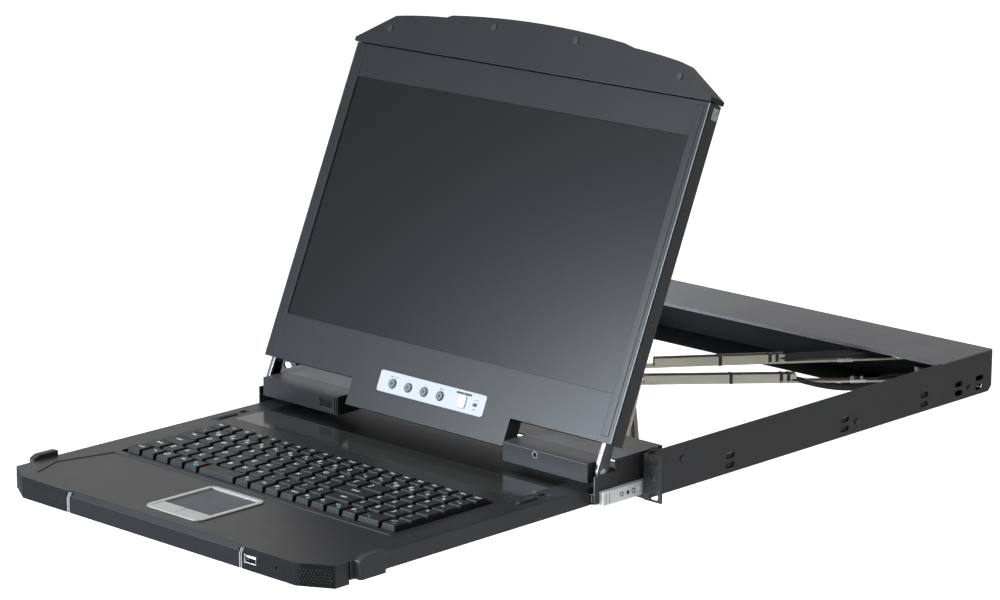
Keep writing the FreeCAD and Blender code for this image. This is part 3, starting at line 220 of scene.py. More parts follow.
def make_finishes(colours):
    steel = colours.coated_steel
    shell = colours.shell_plastic
    bright = colours.bright_steel
    finish("coated_steel", steel, 0.42, **COAT_GRAIN)
    # The rear top cover's coat, made lighter: a painted sheen for its grazing reflection
    finish("lit_cover_steel", scaled(steel, 5.4), 0.34, **COAT_GRAIN)
    # A much darker copy of the coat for the parts inside the housing: painted shade
    finish("shaded_inner_steel", scaled(steel, 0.22), 0.55, level=0.25, **COAT_GRAIN)
    # A lighter copy of the coat for the hinge covers' tops: a painted sheen
    finish("cover_top_sheen", scaled(steel, 1.8), 0.40, **COAT_GRAIN)
    # A lighter copy of the coat for the saddle's top and front: a painted sheen
    finish("lit_saddle_steel", scaled(steel, 3.8), 0.36, **COAT_GRAIN)
    finish("panel_plastic", colours.panel_plastic, 0.30, uneven=0.02, grain=0.4,
           grain_scale=1400.0, level=0.38)
    finish("shell_plastic", shell, 0.38, uneven=0.04, mottle=0.03, **MOULD_GRAIN)
    # Darker and lighter copies of the shell plastic: painted shade on the front, the grips and the well under
    # the screen panel, and a painted light band on the front's slope
    finish("shaded_nose_plastic", scaled(shell, 0.30), 0.40, level=0.16, **MOULD_GRAIN)
    finish("shaded_grip_plastic", scaled(shell, 0.2), 0.6, level=0.16, **MOULD_GRAIN)
    finish("shadowed_well_plastic", scaled(shell, 0.3), 0.32, level=0.18, **NO_GRAIN)
    finish("lit_band_plastic", scaled(shell, 0.55), 0.45, level=0.25, grain=0.4, grain_scale=1300.0)
    # A darker copy of the shell plastic for the left hinge cover: painted shade
    finish("shaded_cover_plastic", scaled(shell, 0.6), 0.42, level=0.30, grain=0.4)
    finish("key_plastic", colours.key_plastic, 0.45, mottle=0.1, grain=0.6, grain_scale=2200.0)
    # A darker copy of the key plastic for the caps' sides: painted shade
    finish("key_side_shade", scaled(colours.key_plastic, 0.4), 0.55, mottle=0.1, grain=0.4, level=0.3)
    finish("silver_plastic", colours.silver_plastic, 0.34, metallic=0.35, mottle=0.03, grain=0.2,
           grain_scale=2600.0)
    finish("pad_plastic", (0.075, 0.077, 0.082), 0.5, grain=0.5, grain_scale=2600.0)
    finish("bright_steel", bright, 0.24, metallic=1.0, mottle=0.10, mottle_scale=60.0,
           grain_scale=900.0, stretch=(1, 0.04, 1))
    finish("nickel_steel", scaled(bright, 0.95), 0.28, metallic=1.0)
    finish("warm_steel", colours.warm_steel, 0.34, metallic=0.85, mottle=0.08, mottle_scale=30.0)
    finish("dark_screw", (0.10, 0.10, 0.105), 0.32, metallic=0.9, mottle=0.1)
    finish("black_screw", (0.020, 0.020, 0.021), 0.34, mottle=0.1)
    finish("arm_steel", (0.15, 0.15, 0.145), 0.30, metallic=1.0)
    finish("zinc_steel", (0.95, 0.96, 0.96), 0.34, metallic=0.3, mottle=0.04, mottle_scale=60.0)
    finish("gloss_black", (0.034, 0.034, 0.032), 0.12, level=0.4, **NO_GRAIN)
    finish("screen_glass", colours.screen_glass, 0.25, mottle=0.04, level=0.36, **NO_GRAIN)
    finish("control_plate", colours.control_plate, 0.38, mottle=0.02, grain=0.2)
    # Pale plastic for the seam clips, and for the painted highlights along the screen surround's edges
    finish("button_plastic", (0.33, 0.34, 0.35), 0.36, mottle=0.04)
    finish("menu_plastic", (0.15, 0.15, 0.155), 0.36, mottle=0.04)
    # Black for dark parts and print, and for painted shade in slots, pressed lines and behind the rails
    finish("dark_parts_print_and_shade", (0.012, 0.012, 0.013), 0.5, mottle=0.2)
    finish("socket_plastic", (0.018, 0.018, 0.019), 0.45, mottle=0.1)
    finish("cable_rubber", (0.020, 0.020, 0.021), 0.55, mottle=0.15, mottle_scale=60.0)
    finish("legend_ink", colours.legend_ink, 0.5, mottle=0.03, grain=0.3)
    finish("teal_ink", (0.16, 0.52, 0.50), 0.5, mottle=0.05, grain=0.3)
    finish("white_plastic", (0.88, 0.88, 0.87), 0.42, mottle=0.03)


# Mesh helpers: which edges are rounded, which stay sharp, and the usual rounding of small parts
BEVEL_ANGLE = math.radians(30.0)
SHARP_ANGLE = math.radians(50.0)
SMOOTH_ANGLE = math.radians(35.0)
SMALL_EDGE = 0.0003


def shift(x, y, z):
    return Matrix.Translation((x, y, z))


def turn(degrees, axis):
    return Matrix.Rotation(math.radians(degrees), 4, axis)


def link_object(name, data):
    """A new object in the scene."""
    piece = bpy.data.objects.new(name, data)
    bpy.context.scene.collection.objects.link(piece)
    return piece


def link_shape(name, shape, mesh_name=None):
    """A new object from mesh code, which is freed."""
    mesh = bpy.data.meshes.new(mesh_name or name)
    shape.to_mesh(mesh)
    shape.free()
    return link_object(name, mesh)


def body_of_node(node):
    return body_of(frame["nodes"][node])[0]


def shown_mesh(piece):
    """The mesh that a piece shows, with its modifiers or its curve worked out."""
    bpy.context.view_layer.update()
    graph = bpy.context.evaluated_depsgraph_get()
    return bpy.data.meshes.new_from_object(piece.evaluated_get(graph), depsgraph=graph)


def apply_modifiers(piece):
    """Turns the piece into the mesh its modifiers show."""
    mesh = shown_mesh(piece)
    piece.modifiers.clear()
    piece.data = mesh


def smooth(piece, angle=SMOOTH_ANGLE):
    """Smooth shading with sharp edges where the faces turn by more than the angle."""
    piece.data.shade_smooth()
    piece.data.set_sharp_from_angle(angle=angle)


def soften(piece, width, segments=2):
    """Rounds the edges and keeps the flat faces flat in the light."""
    bevel = piece.modifiers.new("Rounded edges", "BEVEL")
    bevel.width = width
    bevel.segments = segments
    bevel.limit_method = "ANGLE"
    bevel.angle_limit = BEVEL_ANGLE
    bevel.miter_outer = "MITER_ARC"
    apply_modifiers(piece)
    smooth(piece, SHARP_ANGLE)
    weighted = piece.modifiers.new("Flat faces", "WEIGHTED_NORMAL")
    weighted.mode = "FACE_AREA"
    weighted.keep_sharp = True
    apply_modifiers(piece)


def paint(piece, *names):
    """Gives the piece these finishes, the first of them on all its faces."""
    piece.data.materials.clear()
    for name in names:
        piece.data.materials.append(bpy.data.materials[name])
    return piece


def two_tone(piece, material, chosen):
    """Gives the faces whose centre and normal pass the test a second finish."""
    piece.data.materials.append(bpy.data.materials[material])
    for face in piece.data.polygons:
        if chosen(face.center, face.normal):
            face.material_index = 1


def node_mesh(node):
    """The node's shape as clean polygons, ready for rounding."""
    shape = bmesh.new()
    shape.from_mesh(frame["nodes"][node].data)
    bmesh.ops.remove_doubles(shape, verts=shape.verts, dist=1e-6)
    bmesh.ops.dissolve_limit(shape, angle_limit=math.radians(0.6), verts=shape.verts[:],
                             edges=shape.edges[:])
    return shape


def rounded(node, material, width=None, change=None, segments=None):
    """A piece with the node's own shape and softened edges, in place of the node."""
    sizes = bpy.context.scene.console_sizes
    shape = node_mesh(node)
    if change:
        change(shape)
    piece = link_shape(node + "_piece", shape, node + "_shape")
    paint(piece, material)
    soften(piece, sizes.sheet_edge if width is None else width, segments or sizes.edge_steps)
    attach(piece, body_of_node(node))
    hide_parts(node)
    return piece


def copy_of(node):
    """A piece with the node's shape as it is, for thin sheets whose joints stay unseen."""
    piece = link_shape(node + "_piece", node_mesh(node), node + "_shape")
    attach(piece, body_of_node(node))
    return piece


def islands(node):
    """The boxes of a node's separate solids, from left to right."""
    shape = node_mesh(node)
    left = set(shape.verts)
    boxes = []
    while left:
        group = [left.pop()]
        for vertex in group:
            for edge in vertex.link_edges:
                other = edge.other_vert(vertex)
                if other in left:
                    left.discard(other)
                    group.append(other)
        low = Vector([min(v.co[i] for v in group) for i in range(3)])
        high = Vector([max(v.co[i] for v in group) for i in range(3)])
        boxes.append((low, high))
    shape.free()
    return sorted(boxes, key=lambda b: b[0].x)


def finished(name, shape, material, body, width=SMALL_EDGE, place=None):
    """Puts a new shape in its place, paints and rounds it, and sets it on its body."""
    bmesh.ops.recalc_face_normals(shape, faces=shape.faces)
    if place is not None:
        bmesh.ops.transform(shape, matrix=place, verts=shape.verts)
    piece = link_shape(name, shape)
    paint(piece, material)
    if width:
        soften(piece, width)
    else:
        smooth(piece)
    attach(piece, body)


def block(name, low, high, material, body, width=SMALL_EDGE, place=None):
    """A rounded block between two corners, on a body."""
    shape = bmesh.new()
    bmesh.ops.create_cube(shape, size=1.0)
    low = Vector(low)
    high = Vector(high)
    bmesh.ops.scale(shape, vec=high - low, verts=shape.verts)
    bmesh.ops.translate(shape, vec=(low + high) / 2, verts=shape.verts)
    finished(name, shape, material, body, width, place)


def prism(name, outline, offset, material, body, width=SMALL_EDGE):
    """A straight solid from an outline of points and the way it is drawn out."""
    shape = bmesh.new()
    low = [shape.verts.new(p) for p in outline]
    high = [shape.verts.new(Vector(p) + Vector(offset)) for p in outline]
    count = len(outline)
    shape.faces.new(low)
    shape.faces.new(high)
    for i in range(count):
        j = (i + 1) % count
        shape.faces.new((low[i], low[j], high[j], high[i]))
    finished(name, shape, material, body, width)


def turned(name, profile, place, material, body, steps=32):
    """A round piece from a profile of (radius, height) points about its own Z axis."""
    shape = bmesh.new()
    rings = []
    for radius, height in profile:
        if radius < 1e-7:
            rings.append([shape.verts.new((0, 0, height))])
            continue
        angles = [2 * math.pi * i / steps for i in range(steps)]
        rings.append([shape.verts.new((radius * math.cos(a), radius * math.sin(a), height))
                      for a in angles])
    for a, b in zip(rings, rings[1:]):
        for i in range(steps):
            j = (i + 1) % steps
            corners = [a[i % len(a)], a[j % len(a)], b[j % len(b)], b[i % len(b)]]
            unique = list(dict.fromkeys(corners))
            if len(unique) > 2:
                shape.faces.new(unique)
    finished(name, shape, material, body, 0, place)


# Printed marks: how thick the ink is, and how much bolder than the plain letters
INK_DEPTH = 0.00006
INK_WEIGHT = 0.012


def legend_mesh(words, height):
    """A flat printed word as a thin mesh, centred on the origin."""
    curve = bpy.data.curves.new("legend", "FONT")
    curve.body = words
    curve.align_x = "CENTER"
    curve.align_y = "CENTER"
    curve.size = height
    curve.extrude = INK_DEPTH / 2
    curve.offset = height * INK_WEIGHT
    curve.resolution_u = 3
    holder = link_object("legend_holder", curve)
    mesh = shown_mesh(holder)
    bpy.data.objects.remove(holder)
    bpy.data.curves.remove(curve)
    return mesh


def gather(name, parts, material, body):
    """Joins placed meshes into one printed piece."""
    shape = bmesh.new()
    for mesh, place in parts:
        mesh.transform(place)
        shape.from_mesh(mesh)
        bpy.data.meshes.remove(mesh)
    piece = link_shape(name, shape)
    paint(piece, material)
    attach(piece, body)


# Chassis: the outer face of the screw heads, the rim and depth of their recess, and the part of
# each rail whose slot edges are painted black as the shade in the slots
SCREW_FACE_X = 0.2235
SCREW_RIM = 0.0017
SCREW_RECESS = 0.0008
RAIL_SLOT_TOP = 0.0165
RAIL_SLOTS = (0.02, 0.50)

# Rack ears: the pressed dimple, and the low tab and gusset over each ear with their walls
EAR_DIMPLE_X = 0.2326
EAR_DIMPLE = ((0.0, 0.0010), (0.0015, 0.0009), (0.0028, 0.0004), (0.0034, 0.0))
RAIL_TAB_X = 0.2222
RAIL_TAB = ((0.004, 0.0206), (0.018, 0.0206), (0.018, 0.0232), (0.012, 0.0246), (0.006, 0.0240))
GUSSET = ((0.2226, 0.002), (0.2330, 0.002), (0.2226, 0.014))
GUSSET_TOP = 0.0206
TAB_WALL = 0.0015
GUSSET_WALL = 0.0016


def cross_recess(shape):
    """Sinks a small driver recess in the middle of each screw head."""
    heads = [f for f in shape.faces if len(f.verts) > 12 and abs(f.normal.x) > 0.99]
    bmesh.ops.inset_individual(shape, faces=heads, thickness=SCREW_RIM, depth=0.0)
    heads = [f for f in shape.faces if len(f.verts) > 12 and abs(f.normal.x) > 0.99
             and abs(f.calc_center_median().x) > SCREW_FACE_X]
    bmesh.ops.inset_individual(shape, faces=heads, thickness=0.0001, depth=-SCREW_RECESS)


def slot_shade_faces(centre, normal):
    """Whether a face of a rail is one of the edges of its slots, which are painted black as shade."""
    return (abs(normal.x) < 0.8 and abs(centre.z) < RAIL_SLOT_TOP
            and RAIL_SLOTS[0] < centre.y < RAIL_SLOTS[1])


class CONSOLE_OT_chassis(Operator):
    """Build the side rails, the rear cable housing and their screws"""
    bl_idname = "console.chassis"
    bl_label = "Chassis"

    def execute(self, context):
        for node in ("right_rail", "left_rail"):
            # The edges of the rails' slots are painted black, painted shade
            two_tone(rounded(node, "coated_steel"), "dark_parts_print_and_shade", slot_shade_faces)
        # The plate and bulkhead inside the housing take the darker coat, painted shade
        for node in ("rear_bottom_plate", "cable_bulkhead"):
            rounded(node, "shaded_inner_steel")
        sheet = paint(copy_of("rear_panel"), "coated_steel")
        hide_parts("rear_panel")
        # The rear top cover takes the lighter coat, a painted sheen
        rounded("rear_top_cover", "lit_cover_steel")
        rounded("rail_screws", "dark_screw", 0.0005, change=cross_recess)
        rounded("arm_brackets", "bright_steel")
        for side, name in ((1, "right"), (-1, "left")):
            turned(f"{name}_ear_dimple", EAR_DIMPLE,
                   shift(side * EAR_DIMPLE_X, -0.0001, 0) @ turn(90, "X"),
                   "coated_steel", "chassis", 28)
            prism(f"{name}_rail_tab", [(side * RAIL_TAB_X, y, z) for y, z in RAIL_TAB],
                  (-side * TAB_WALL, 0, 0), "coated_steel", "chassis")
            prism(f"{name}_ear_gusset", [(side * x, y, GUSSET_TOP) for x, y in GUSSET],
                  (0, 0, -GUSSET_WALL), "coated_steel", "chassis")
        return {"FINISHED"}


class CONSOLE_OT_sockets(Operator):
    """Build the power inlet, the rocker switch and the rear sockets"""
    bl_idname = "console.sockets"
    bl_label = "Rear sockets"

    def execute(self, context):
        rounded("rear_sockets", "socket_plastic")
        rounded("power_switch", "socket_plastic", 0.0004)
        return {"FINISHED"}


# Slides: how far the pressed lines and the rivets stand from a bar's front end, and each
# rivet's radius
SLIDE_LINES = (0.0030, 0.0075)
SLIDE_RIVETS = ((0.0235, 0.0022), (0.0315, 0.0016), (0.0385, 0.0024))


def slide_marks():
    """Pressed lines, rivets and holes at the front end of each slide bar; the pressed lines are dark strips,
    painted shade in them.
    """
    body = body_of_node("slide_bars")
    for low, high in islands("slide_bars"):
        side, label, face = (1, "right", high.x) if low.x > 0 else (-1, "left", low.x)
        for index, step in enumerate(SLIDE_LINES):
            # Dark strips in the pressed lines, painted shade
            block(f"{label}_slide_line_shade_{index}", (face - 0.0001, low.y + step, low.z + 0.0015),
                  (face + 0.0001, low.y + step + 0.0005, high.z - 0.0015), "dark_parts_print_and_shade", body, 0)
        for index, (step, radius) in enumerate(SLIDE_RIVETS):
            profile = ((0.0, -0.0001), (radius * 0.6, -0.0001), (radius * 0.65, 0.0002),
                       (radius, 0.0002), (radius, -0.0001))
            place = shift(face, low.y + step, (low.z + high.z) / 2) @ turn(90 * side, "Y")
            turned(f"{label}_slide_rivet_{index}", profile, place, "dark_screw", body, 24)


class CONSOLE_OT_slides(Operator):
    """Build the slide bars, their channels and the drawer's runners"""
    bl_idname = "console.slides"
    bl_label = "Slides"

    def execute(self, context):
        rounded("slide_bars", "zinc_steel")
        for node in ("drawer_guides", "drawer_runners"):
            rounded(node, "bright_steel")
        channels = rounded("slide_channels", "bright_steel")
        # The channels' outward faces, seen through the rails' slots, are painted black: painted shade
        two_tone(channels, "dark_parts_print_and_shade",
                 lambda centre, normal: abs(normal.x) > 0.9 and normal.x * centre.x > 0)
        slide_marks()
        return {"FINISHED"}


# Hinge covers: their front face, the lock in the right one and the window in the left one
COVER_FRONT = -0.056
LOCK_PLACE = (0.144, COVER_FRONT + 0.0004, 0.0158)
LOCK_HOLE = ((0.0, 0.0005), (0.0023, 0.0005), (0.0023, 0.0))
LOCK_RIM = ((0.0024, 0.0), (0.0025, 0.0009), (0.0029, 0.0009), (0.0031, 0.0004))
WINDOW_LOW = (-0.1275, COVER_FRONT + 0.0002, 0.0075)
WINDOW_HIGH = (-0.1145, COVER_FRONT + 0.0006, 0.0140)


class CONSOLE_OT_carriage(Operator):
    """Build the carriage saddle, the hinge covers and the hinge arms"""
    bl_idname = "console.carriage"
    bl_label = "Carriage and hinges"

    def execute(self, context):
        # The saddle takes the lighter coat, a painted sheen, and its side faces keep the plain coat
        saddle = rounded("carriage_frame", "lit_saddle_steel")
        two_tone(saddle, "coated_steel", lambda centre, normal: abs(normal.x) > 0.9)
        moulded = context.scene.console_sizes.moulded_edge
        # The left hinge cover takes a darker copy of the shell plastic, painted shade
        for side, width, material in (("right", moulded, "shell_plastic"),
                                      ("left", 0.0004, "shaded_cover_plastic")):
            cover = rounded(f"{side}_hinge_cover", material, width)
            # Their upward faces take the lighter coat, a painted sheen on the tops
            two_tone(cover, "cover_top_sheen", lambda centre, normal: normal.z > 0.9)
        lock = shift(*LOCK_PLACE) @ turn(90, "X")
        # The lock's hole and the window take the darkest shell plastic, painted shade in them
        turned("cover_lock", LOCK_HOLE, lock, "shaded_grip_plastic", "lcd_carriage", 28)
        turned("cover_lock_rim", LOCK_RIM, lock, "nickel_steel", "lcd_carriage", 28)
        block("cover_insert", WINDOW_LOW, WINDOW_HIGH, "shaded_grip_plastic", "lcd_carriage", 0.0002)
        arms = rounded("hinge_arms", "arm_steel", 0.0005)
        two_tone(arms, "nickel_steel", lambda centre, normal: 0.2 < abs(normal.x) < 0.95)
        rounded("hinge_pins", "nickel_steel")
        return {"FINISHED"}


# The raised screen panel's own frame, and the face and side that its small parts sit on
PANEL = shift(0, -0.043, 0.011) @ turn(-23.8, "X")
PANEL_FACE = -0.009
PANEL_HALF = 0.2195

# Control plate: the row of buttons, the marks over the menu buttons with their height, the place
# of the reset cross with the words over and under it, and the two bars over the power pad
BUTTON_ROW = 0.028
MENU_X = (-0.049, -0.0288, -0.0087, 0.0116)
MENU_MARK_RISE = 0.0064
MENU_MARKS = (("menu / exit", 0.0021), ("◂ ▸", 0.0030), ("▾ ▴", 0.0030), ("select", 0.0021))
MENU_RING = ((0.0034, 0.0), (0.0040, 0.0), (0.0040, 0.0001), (0.0034, 0.0001))
MENU_DOT = ((0.0, 0.0), (0.0013, 0.0), (0.0013, 0.0001), (0.0, 0.0001))
PRINT_Y = PANEL_FACE - 0.0002
RESET_X = 0.0552
RESET_WORDS = (("on / off", 0.0042), ("reset", -0.0042))
RESET_WORD_HEIGHT = 0.0019
POWER_BARS = (0.0300, 0.0397)
POWER_BAR_SIZE = (0.0090, 0.0019)
POWER_BAR_RISE = 0.0066

# The ends of the painted highlight lines up the side of the surround, the side screws' heights and their
# profile
GLINT_ENDS = (0.0250, 0.3330)
SIDE_SCREWS = (0.049, 0.134, 0.236)
SIDE_SCREW = ((0.0, 0.0002), (0.0008, 0.0002), (0.0011, 0.0006), (0.0019, 0.0005), (0.0022, 0.0))


def control_marks():
    """The small printed marks over the buttons, and the two tone bar over the power pad."""
    body = "lcd_panel"
    parts = []
    for x, (marks, size) in zip(MENU_X, MENU_MARKS):
        place = PANEL @ shift(x, PRINT_Y, BUTTON_ROW + MENU_MARK_RISE) @ turn(90, "X")
        parts.append((legend_mesh(marks, size), place))
    for words, rise in RESET_WORDS:
        place = PANEL @ shift(RESET_X, PRINT_Y, BUTTON_ROW + rise) @ turn(90, "X")
        parts.append((legend_mesh(words, RESET_WORD_HEIGHT), place))
    gather("control_labels", parts, "dark_parts_print_and_shade", body)
    width, height = POWER_BAR_SIZE
    for index, x in enumerate(POWER_BARS):
        block(f"power_bar_{index}", (x, PRINT_Y - 0.0001, BUTTON_ROW + POWER_BAR_RISE),
              (x + width, PRINT_Y + 0.0001, BUTTON_ROW + POWER_BAR_RISE + height),
              "dark_parts_print_and_shade", body, 0, PANEL)
    for index, angle in enumerate((45, -45)):
        place = PANEL @ shift(RESET_X, PRINT_Y, BUTTON_ROW) @ turn(angle, "Y")
        block(f"reset_cross_{index}", (-0.0020, -0.0001, -0.0005), (0.0020, 0.0001, 0.0005),
              "dark_parts_print_and_shade", body, 0, place)


def panel_edge_glints():
    """Pale strips along both sides of the surround, painted highlights on its edges, and the screws in its
    side faces.
    """
    for side, name in ((-1, "left"), (1, "right")):
        x = side * (PANEL_HALF - 0.0004)
        block(f"side_glint_{name}", (x - 0.0003, PANEL_FACE - 0.0003, GLINT_ENDS[0]),
              (x + 0.0003, PANEL_FACE + 0.0002, GLINT_ENDS[1]), "button_plastic", "lcd_panel", 0,
              PANEL)
        for index, z in enumerate(SIDE_SCREWS):
            place = PANEL @ shift(side * PANEL_HALF, -0.001, z) @ turn(90 * side, "Y")
            turned(f"side_screw_{index}_{name}", SIDE_SCREW, place, "dark_screw", "lcd_panel", 24)


class CONSOLE_OT_panel(Operator):
    """Build the screen panel with its surround, glass, grip, latches and screws"""
    bl_idname = "console.panel"
    bl_label = "Screen panel"

    def execute(self, context):
        rounded("panel_bezel", "panel_plastic", 0.0004)
        rounded("panel_back_cover", "coated_steel", 0.0005)
        rounded("screen_module", "screen_glass", 0.0002)
        rounded("panel_handle", "panel_plastic", 0.0008, segments=3)
        rounded("panel_screws", "black_screw", 0.0003)
        rounded("panel_latches", "nickel_steel", 0.0001)
        rounded("control_plate", "control_plate", 0.0002)
        for index, x in enumerate(MENU_X):
            node = f"menu_button_{index + 1}"
            rounded(node, "menu_plastic", 0.0006, segments=3)
            face = PANEL @ shift(x, PANEL_FACE - 0.0014, BUTTON_ROW) @ turn(90, "X")
            turned(node + "_ring", MENU_RING, face, "dark_parts_print_and_shade", body_of_node(node))
            turned(node + "_dot", MENU_DOT, face, "dark_parts_print_and_shade", body_of_node(node), 20)
        rounded("power_button", "white_plastic", 0.0006, segments=3)
        control_marks()
        panel_edge_glints()
        return {"FINISHED"}


# Keys: the words of each row from left to right, and the second marks that follow in turn
KEY_WORDS = {
    "function_keys": "Esc F1 F2 F3 F4 F5 F6 F7 F8 F9 F10 F11 F12 Prt Scr Brk Ins Del Hm End",
    "number_keys": "` 1 2 3 4 5 6 7 8 9 0 - = ← # / * -",
    "upper_letter_keys": "Tab Q W E R T Y U I O P [ ] 7 8 9 +",
    "home_letter_keys": "Caps A S D F G H J K L ; Enter 4 5 6 *",
    "lower_letter_keys": "Shift Z X C V B N M , . / ↑ Shift 1 2 3 /",
    "bottom_row_keys": "Ctrl Fn □ Alt < > Alt ≡ Ctrl ← ↓ → 0 . ↵",
}
SECOND_MARKS = "!@#$%^&*()_+"
SECOND_MARK_ROWS = {"number_keys": "legend_ink", "bottom_row_keys": "teal_ink"}

# Where a single letter stands from its cap's left edge and middle, where the second mark stands
# from the letter, how much smaller words and second marks are, and the rim of the dished top
LETTER_INSET = 0.0052
LETTER_RISE = 0.0020
SECOND_STEP = 0.0052
SECOND_DROP = -0.0022
WORD_SHARE = 0.66
SECOND_SHARE = 0.8
CAP_RIM = 0.0024


def dish_tops(shape):
    """Sinks the middle of every key top a little."""
    top = max(v.co.z for v in shape.verts)
    shape.faces.ensure_lookup_table()
    faces = [f for f in shape.faces if f.normal.z > 0.99 and f.calc_center_median().z > top - 0.0001]
    bmesh.ops.inset_individual(shape, faces=faces, thickness=CAP_RIM,
                               depth=-bpy.context.scene.console_sizes.key_dish)


def key_caps(node):
    """A row of dished caps, with painted shade on their sides."""
    caps = rounded(node, "key_plastic", bpy.context.scene.console_sizes.key_edge,
                   change=dish_tops)
    two_tone(caps, "key_side_shade", lambda centre, normal: normal.z < 0.5)


def key_legends(node, words):
    """The letters of a row of caps, and the second marks of the rows that have them."""
    sizes = bpy.context.scene.console_sizes
    parts = []
    extra = []
    for (low, high), word in zip(islands(node), words.split()):
        single = len(word) == 1
        height = sizes.legend_height * (1.0 if single else WORD_SHARE)
        x = low.x + LETTER_INSET if single else (low.x + high.x) / 2
        middle = (low.y + high.y) / 2
        top = high.z - sizes.key_dish + 0.00008
        parts.append((legend_mesh(word, height), shift(x, middle + LETTER_RISE, top)))
        if single and node in SECOND_MARK_ROWS:
            mark = SECOND_MARKS[len(extra) % len(SECOND_MARKS)]
            extra.append((legend_mesh(mark, height * SECOND_SHARE),
                          shift(x + SECOND_STEP, middle + SECOND_DROP, top)))
    gather(node + "_legends", parts, "legend_ink", body_of_node(node))
    if extra:
        gather(node + "_marks", extra, SECOND_MARK_ROWS[node], body_of_node(node))


class CONSOLE_OT_keys(Operator):
    """Build the key caps with their printed legends, and the carrier under them"""
    bl_idname = "console.keys"
    bl_label = "Keys"

    def execute(self, context):
        for node, words in KEY_WORDS.items():
            key_caps(node)
            key_legends(node, words)
        key_caps("space_bar")
        rounded("keyboard_plate", "dark_parts_print_and_shade")
        return {"FINISHED"}


# Keyboard drawer: its front face, underside and top, the well in front of the screen panel, and
# the band between the two seams of the front, whose top edge slopes back
NOSE_FRONT = -0.3705
NOSE_BOTTOM = -0.0226
NOSE_REAR = -0.352
NOSE_EDGE = 0.0055
SHELL_TOP = -0.003
STRIP_REAR = -0.0745
WELL_HALF = 0.1790
BAND_LEFT = -0.1120
BAND_RIGHT = 0.1080
BAND_KINK = 0.0030
BAND_DROP = 0.0048
BAND_SETBACK = 0.0034

# The shell's finishes, in the order of its material slots: the plain plastic, painted shade on the front and
# in the well, a painted light band on the front's slope, and painted shade on the grips
SHELL_FINISHES = ("shell_plastic", "shaded_nose_plastic", "shadowed_well_plastic", "lit_band_plastic", "shaded_grip_plastic")

# Studs on the drawer's front: their pitch, first height, row step, half width and height
STUD_PITCH = 0.0028
STUD_BASE = 0.0040
STUD_STEP = 0.0026
STUD_HALF = 0.0009
STUD_HEIGHT = 0.00035

# Each patch of studs runs between two plan points, with a number of rows
STUD_PATCHES = (
    ("right_grip_dots", (0.1295, NOSE_FRONT, 0), (0.1450, NOSE_FRONT, 0), 5),
    ("right_far_dots", (0.1530, NOSE_FRONT, 0), (0.1740, NOSE_FRONT, 0), 5),
    ("right_corner_dots", (0.1745, NOSE_FRONT + 0.0003, 0), (0.2025, -0.3543, 0), 5),
    ("left_grip_dots", (-0.172, NOSE_FRONT, 0), (-0.118, NOSE_FRONT, 0), 4),
)

# Ridges across the slanted corner: their ends, first height, step, height and how far they stand out
RIDGE_ENDS = ((-0.2015, -0.3549, 0), (-0.1900, -0.3614, 0))
RIDGE_BASE = 0.0062
RIDGE_STEP = 0.0028
RIDGE_HEIGHT = 0.0009
RIDGE_OUT = 0.00045

# The seam clips, the width of their strips and the step from one to the other, the width of the
# line round the touchpad, and how much narrower the catches are than their solids
SEAM_CLIPS = (("left_seam_clip", -0.1135), ("right_seam_clip", 0.1065))
CLIP_WIDTH = 0.0009
CLIP_PAIR = 0.0021
PAD_LINE = 0.0022
CATCH_EASE = 0.0010


def front_band(shape):
    """Slopes the front's top edge back between the two seams."""
    stations = (BAND_LEFT, BAND_LEFT + BAND_KINK, BAND_RIGHT - BAND_KINK, BAND_RIGHT, -WELL_HALF,
                WELL_HALF)
    cuts = [((x, 0, 0), (1, 0, 0)) for x in stations]
    cuts += [((0, STRIP_REAR, 0), (0, 1, 0)), ((0, 0, SHELL_TOP - BAND_DROP), (0, 0, 1))]
    for point, normal in cuts:
        bmesh.ops.bisect_plane(shape, geom=shape.verts[:] + shape.edges[:] + shape.faces[:],
                               dist=1e-6, plane_co=point, plane_no=normal)
    for vertex in shape.verts:
        x, y, z = vertex.co
        across = BAND_LEFT + BAND_KINK - 0.0001 < x < BAND_RIGHT - BAND_KINK + 0.0001
        if across and y < NOSE_FRONT + 0.0003 and z > SHELL_TOP - 0.0003:
            vertex.co.y += BAND_SETBACK


def shell_slot(centre, normal):
    """Which of the shell's finishes a face takes, painting shade or light by where it stands and which way it
    faces.
    """
    band = BAND_LEFT < centre.x < BAND_RIGHT
    if centre.y < NOSE_REAR and abs(normal.z) < 0.3:
        return 1 if band else 4
    if centre.y > STRIP_REAR and normal.z > 0.5 and abs(centre.x) < WELL_HALF:
        return 2
    if band and centre.y < NOSE_FRONT + NOSE_EDGE and 0.4 < normal.z < 0.9:
        return 3
    return 0


def along_and_out(start, end):
    """The way from one plan point to another, and the way out from the drawer's side there."""
    along = (end - start).normalized()
    return along, Vector((along.y, -along.x, 0))


def corner_ridges():
    """Three thin ridges across the slanted corner of the drawer's front."""
    start, end = (Vector(point) for point in RIDGE_ENDS)
    out = along_and_out(start, end)[1] * RIDGE_OUT
    for index in range(3):
        rise = Vector((0, 0, NOSE_BOTTOM + RIDGE_BASE + index * RIDGE_STEP))
        outline = [start + rise, end + rise, end + out + rise, start + out + rise]
        prism(f"left_corner_ridge_{index}", outline, (0, 0, RIDGE_HEIGHT), "shell_plastic",
              "keyboard_drawer", 0.0001)


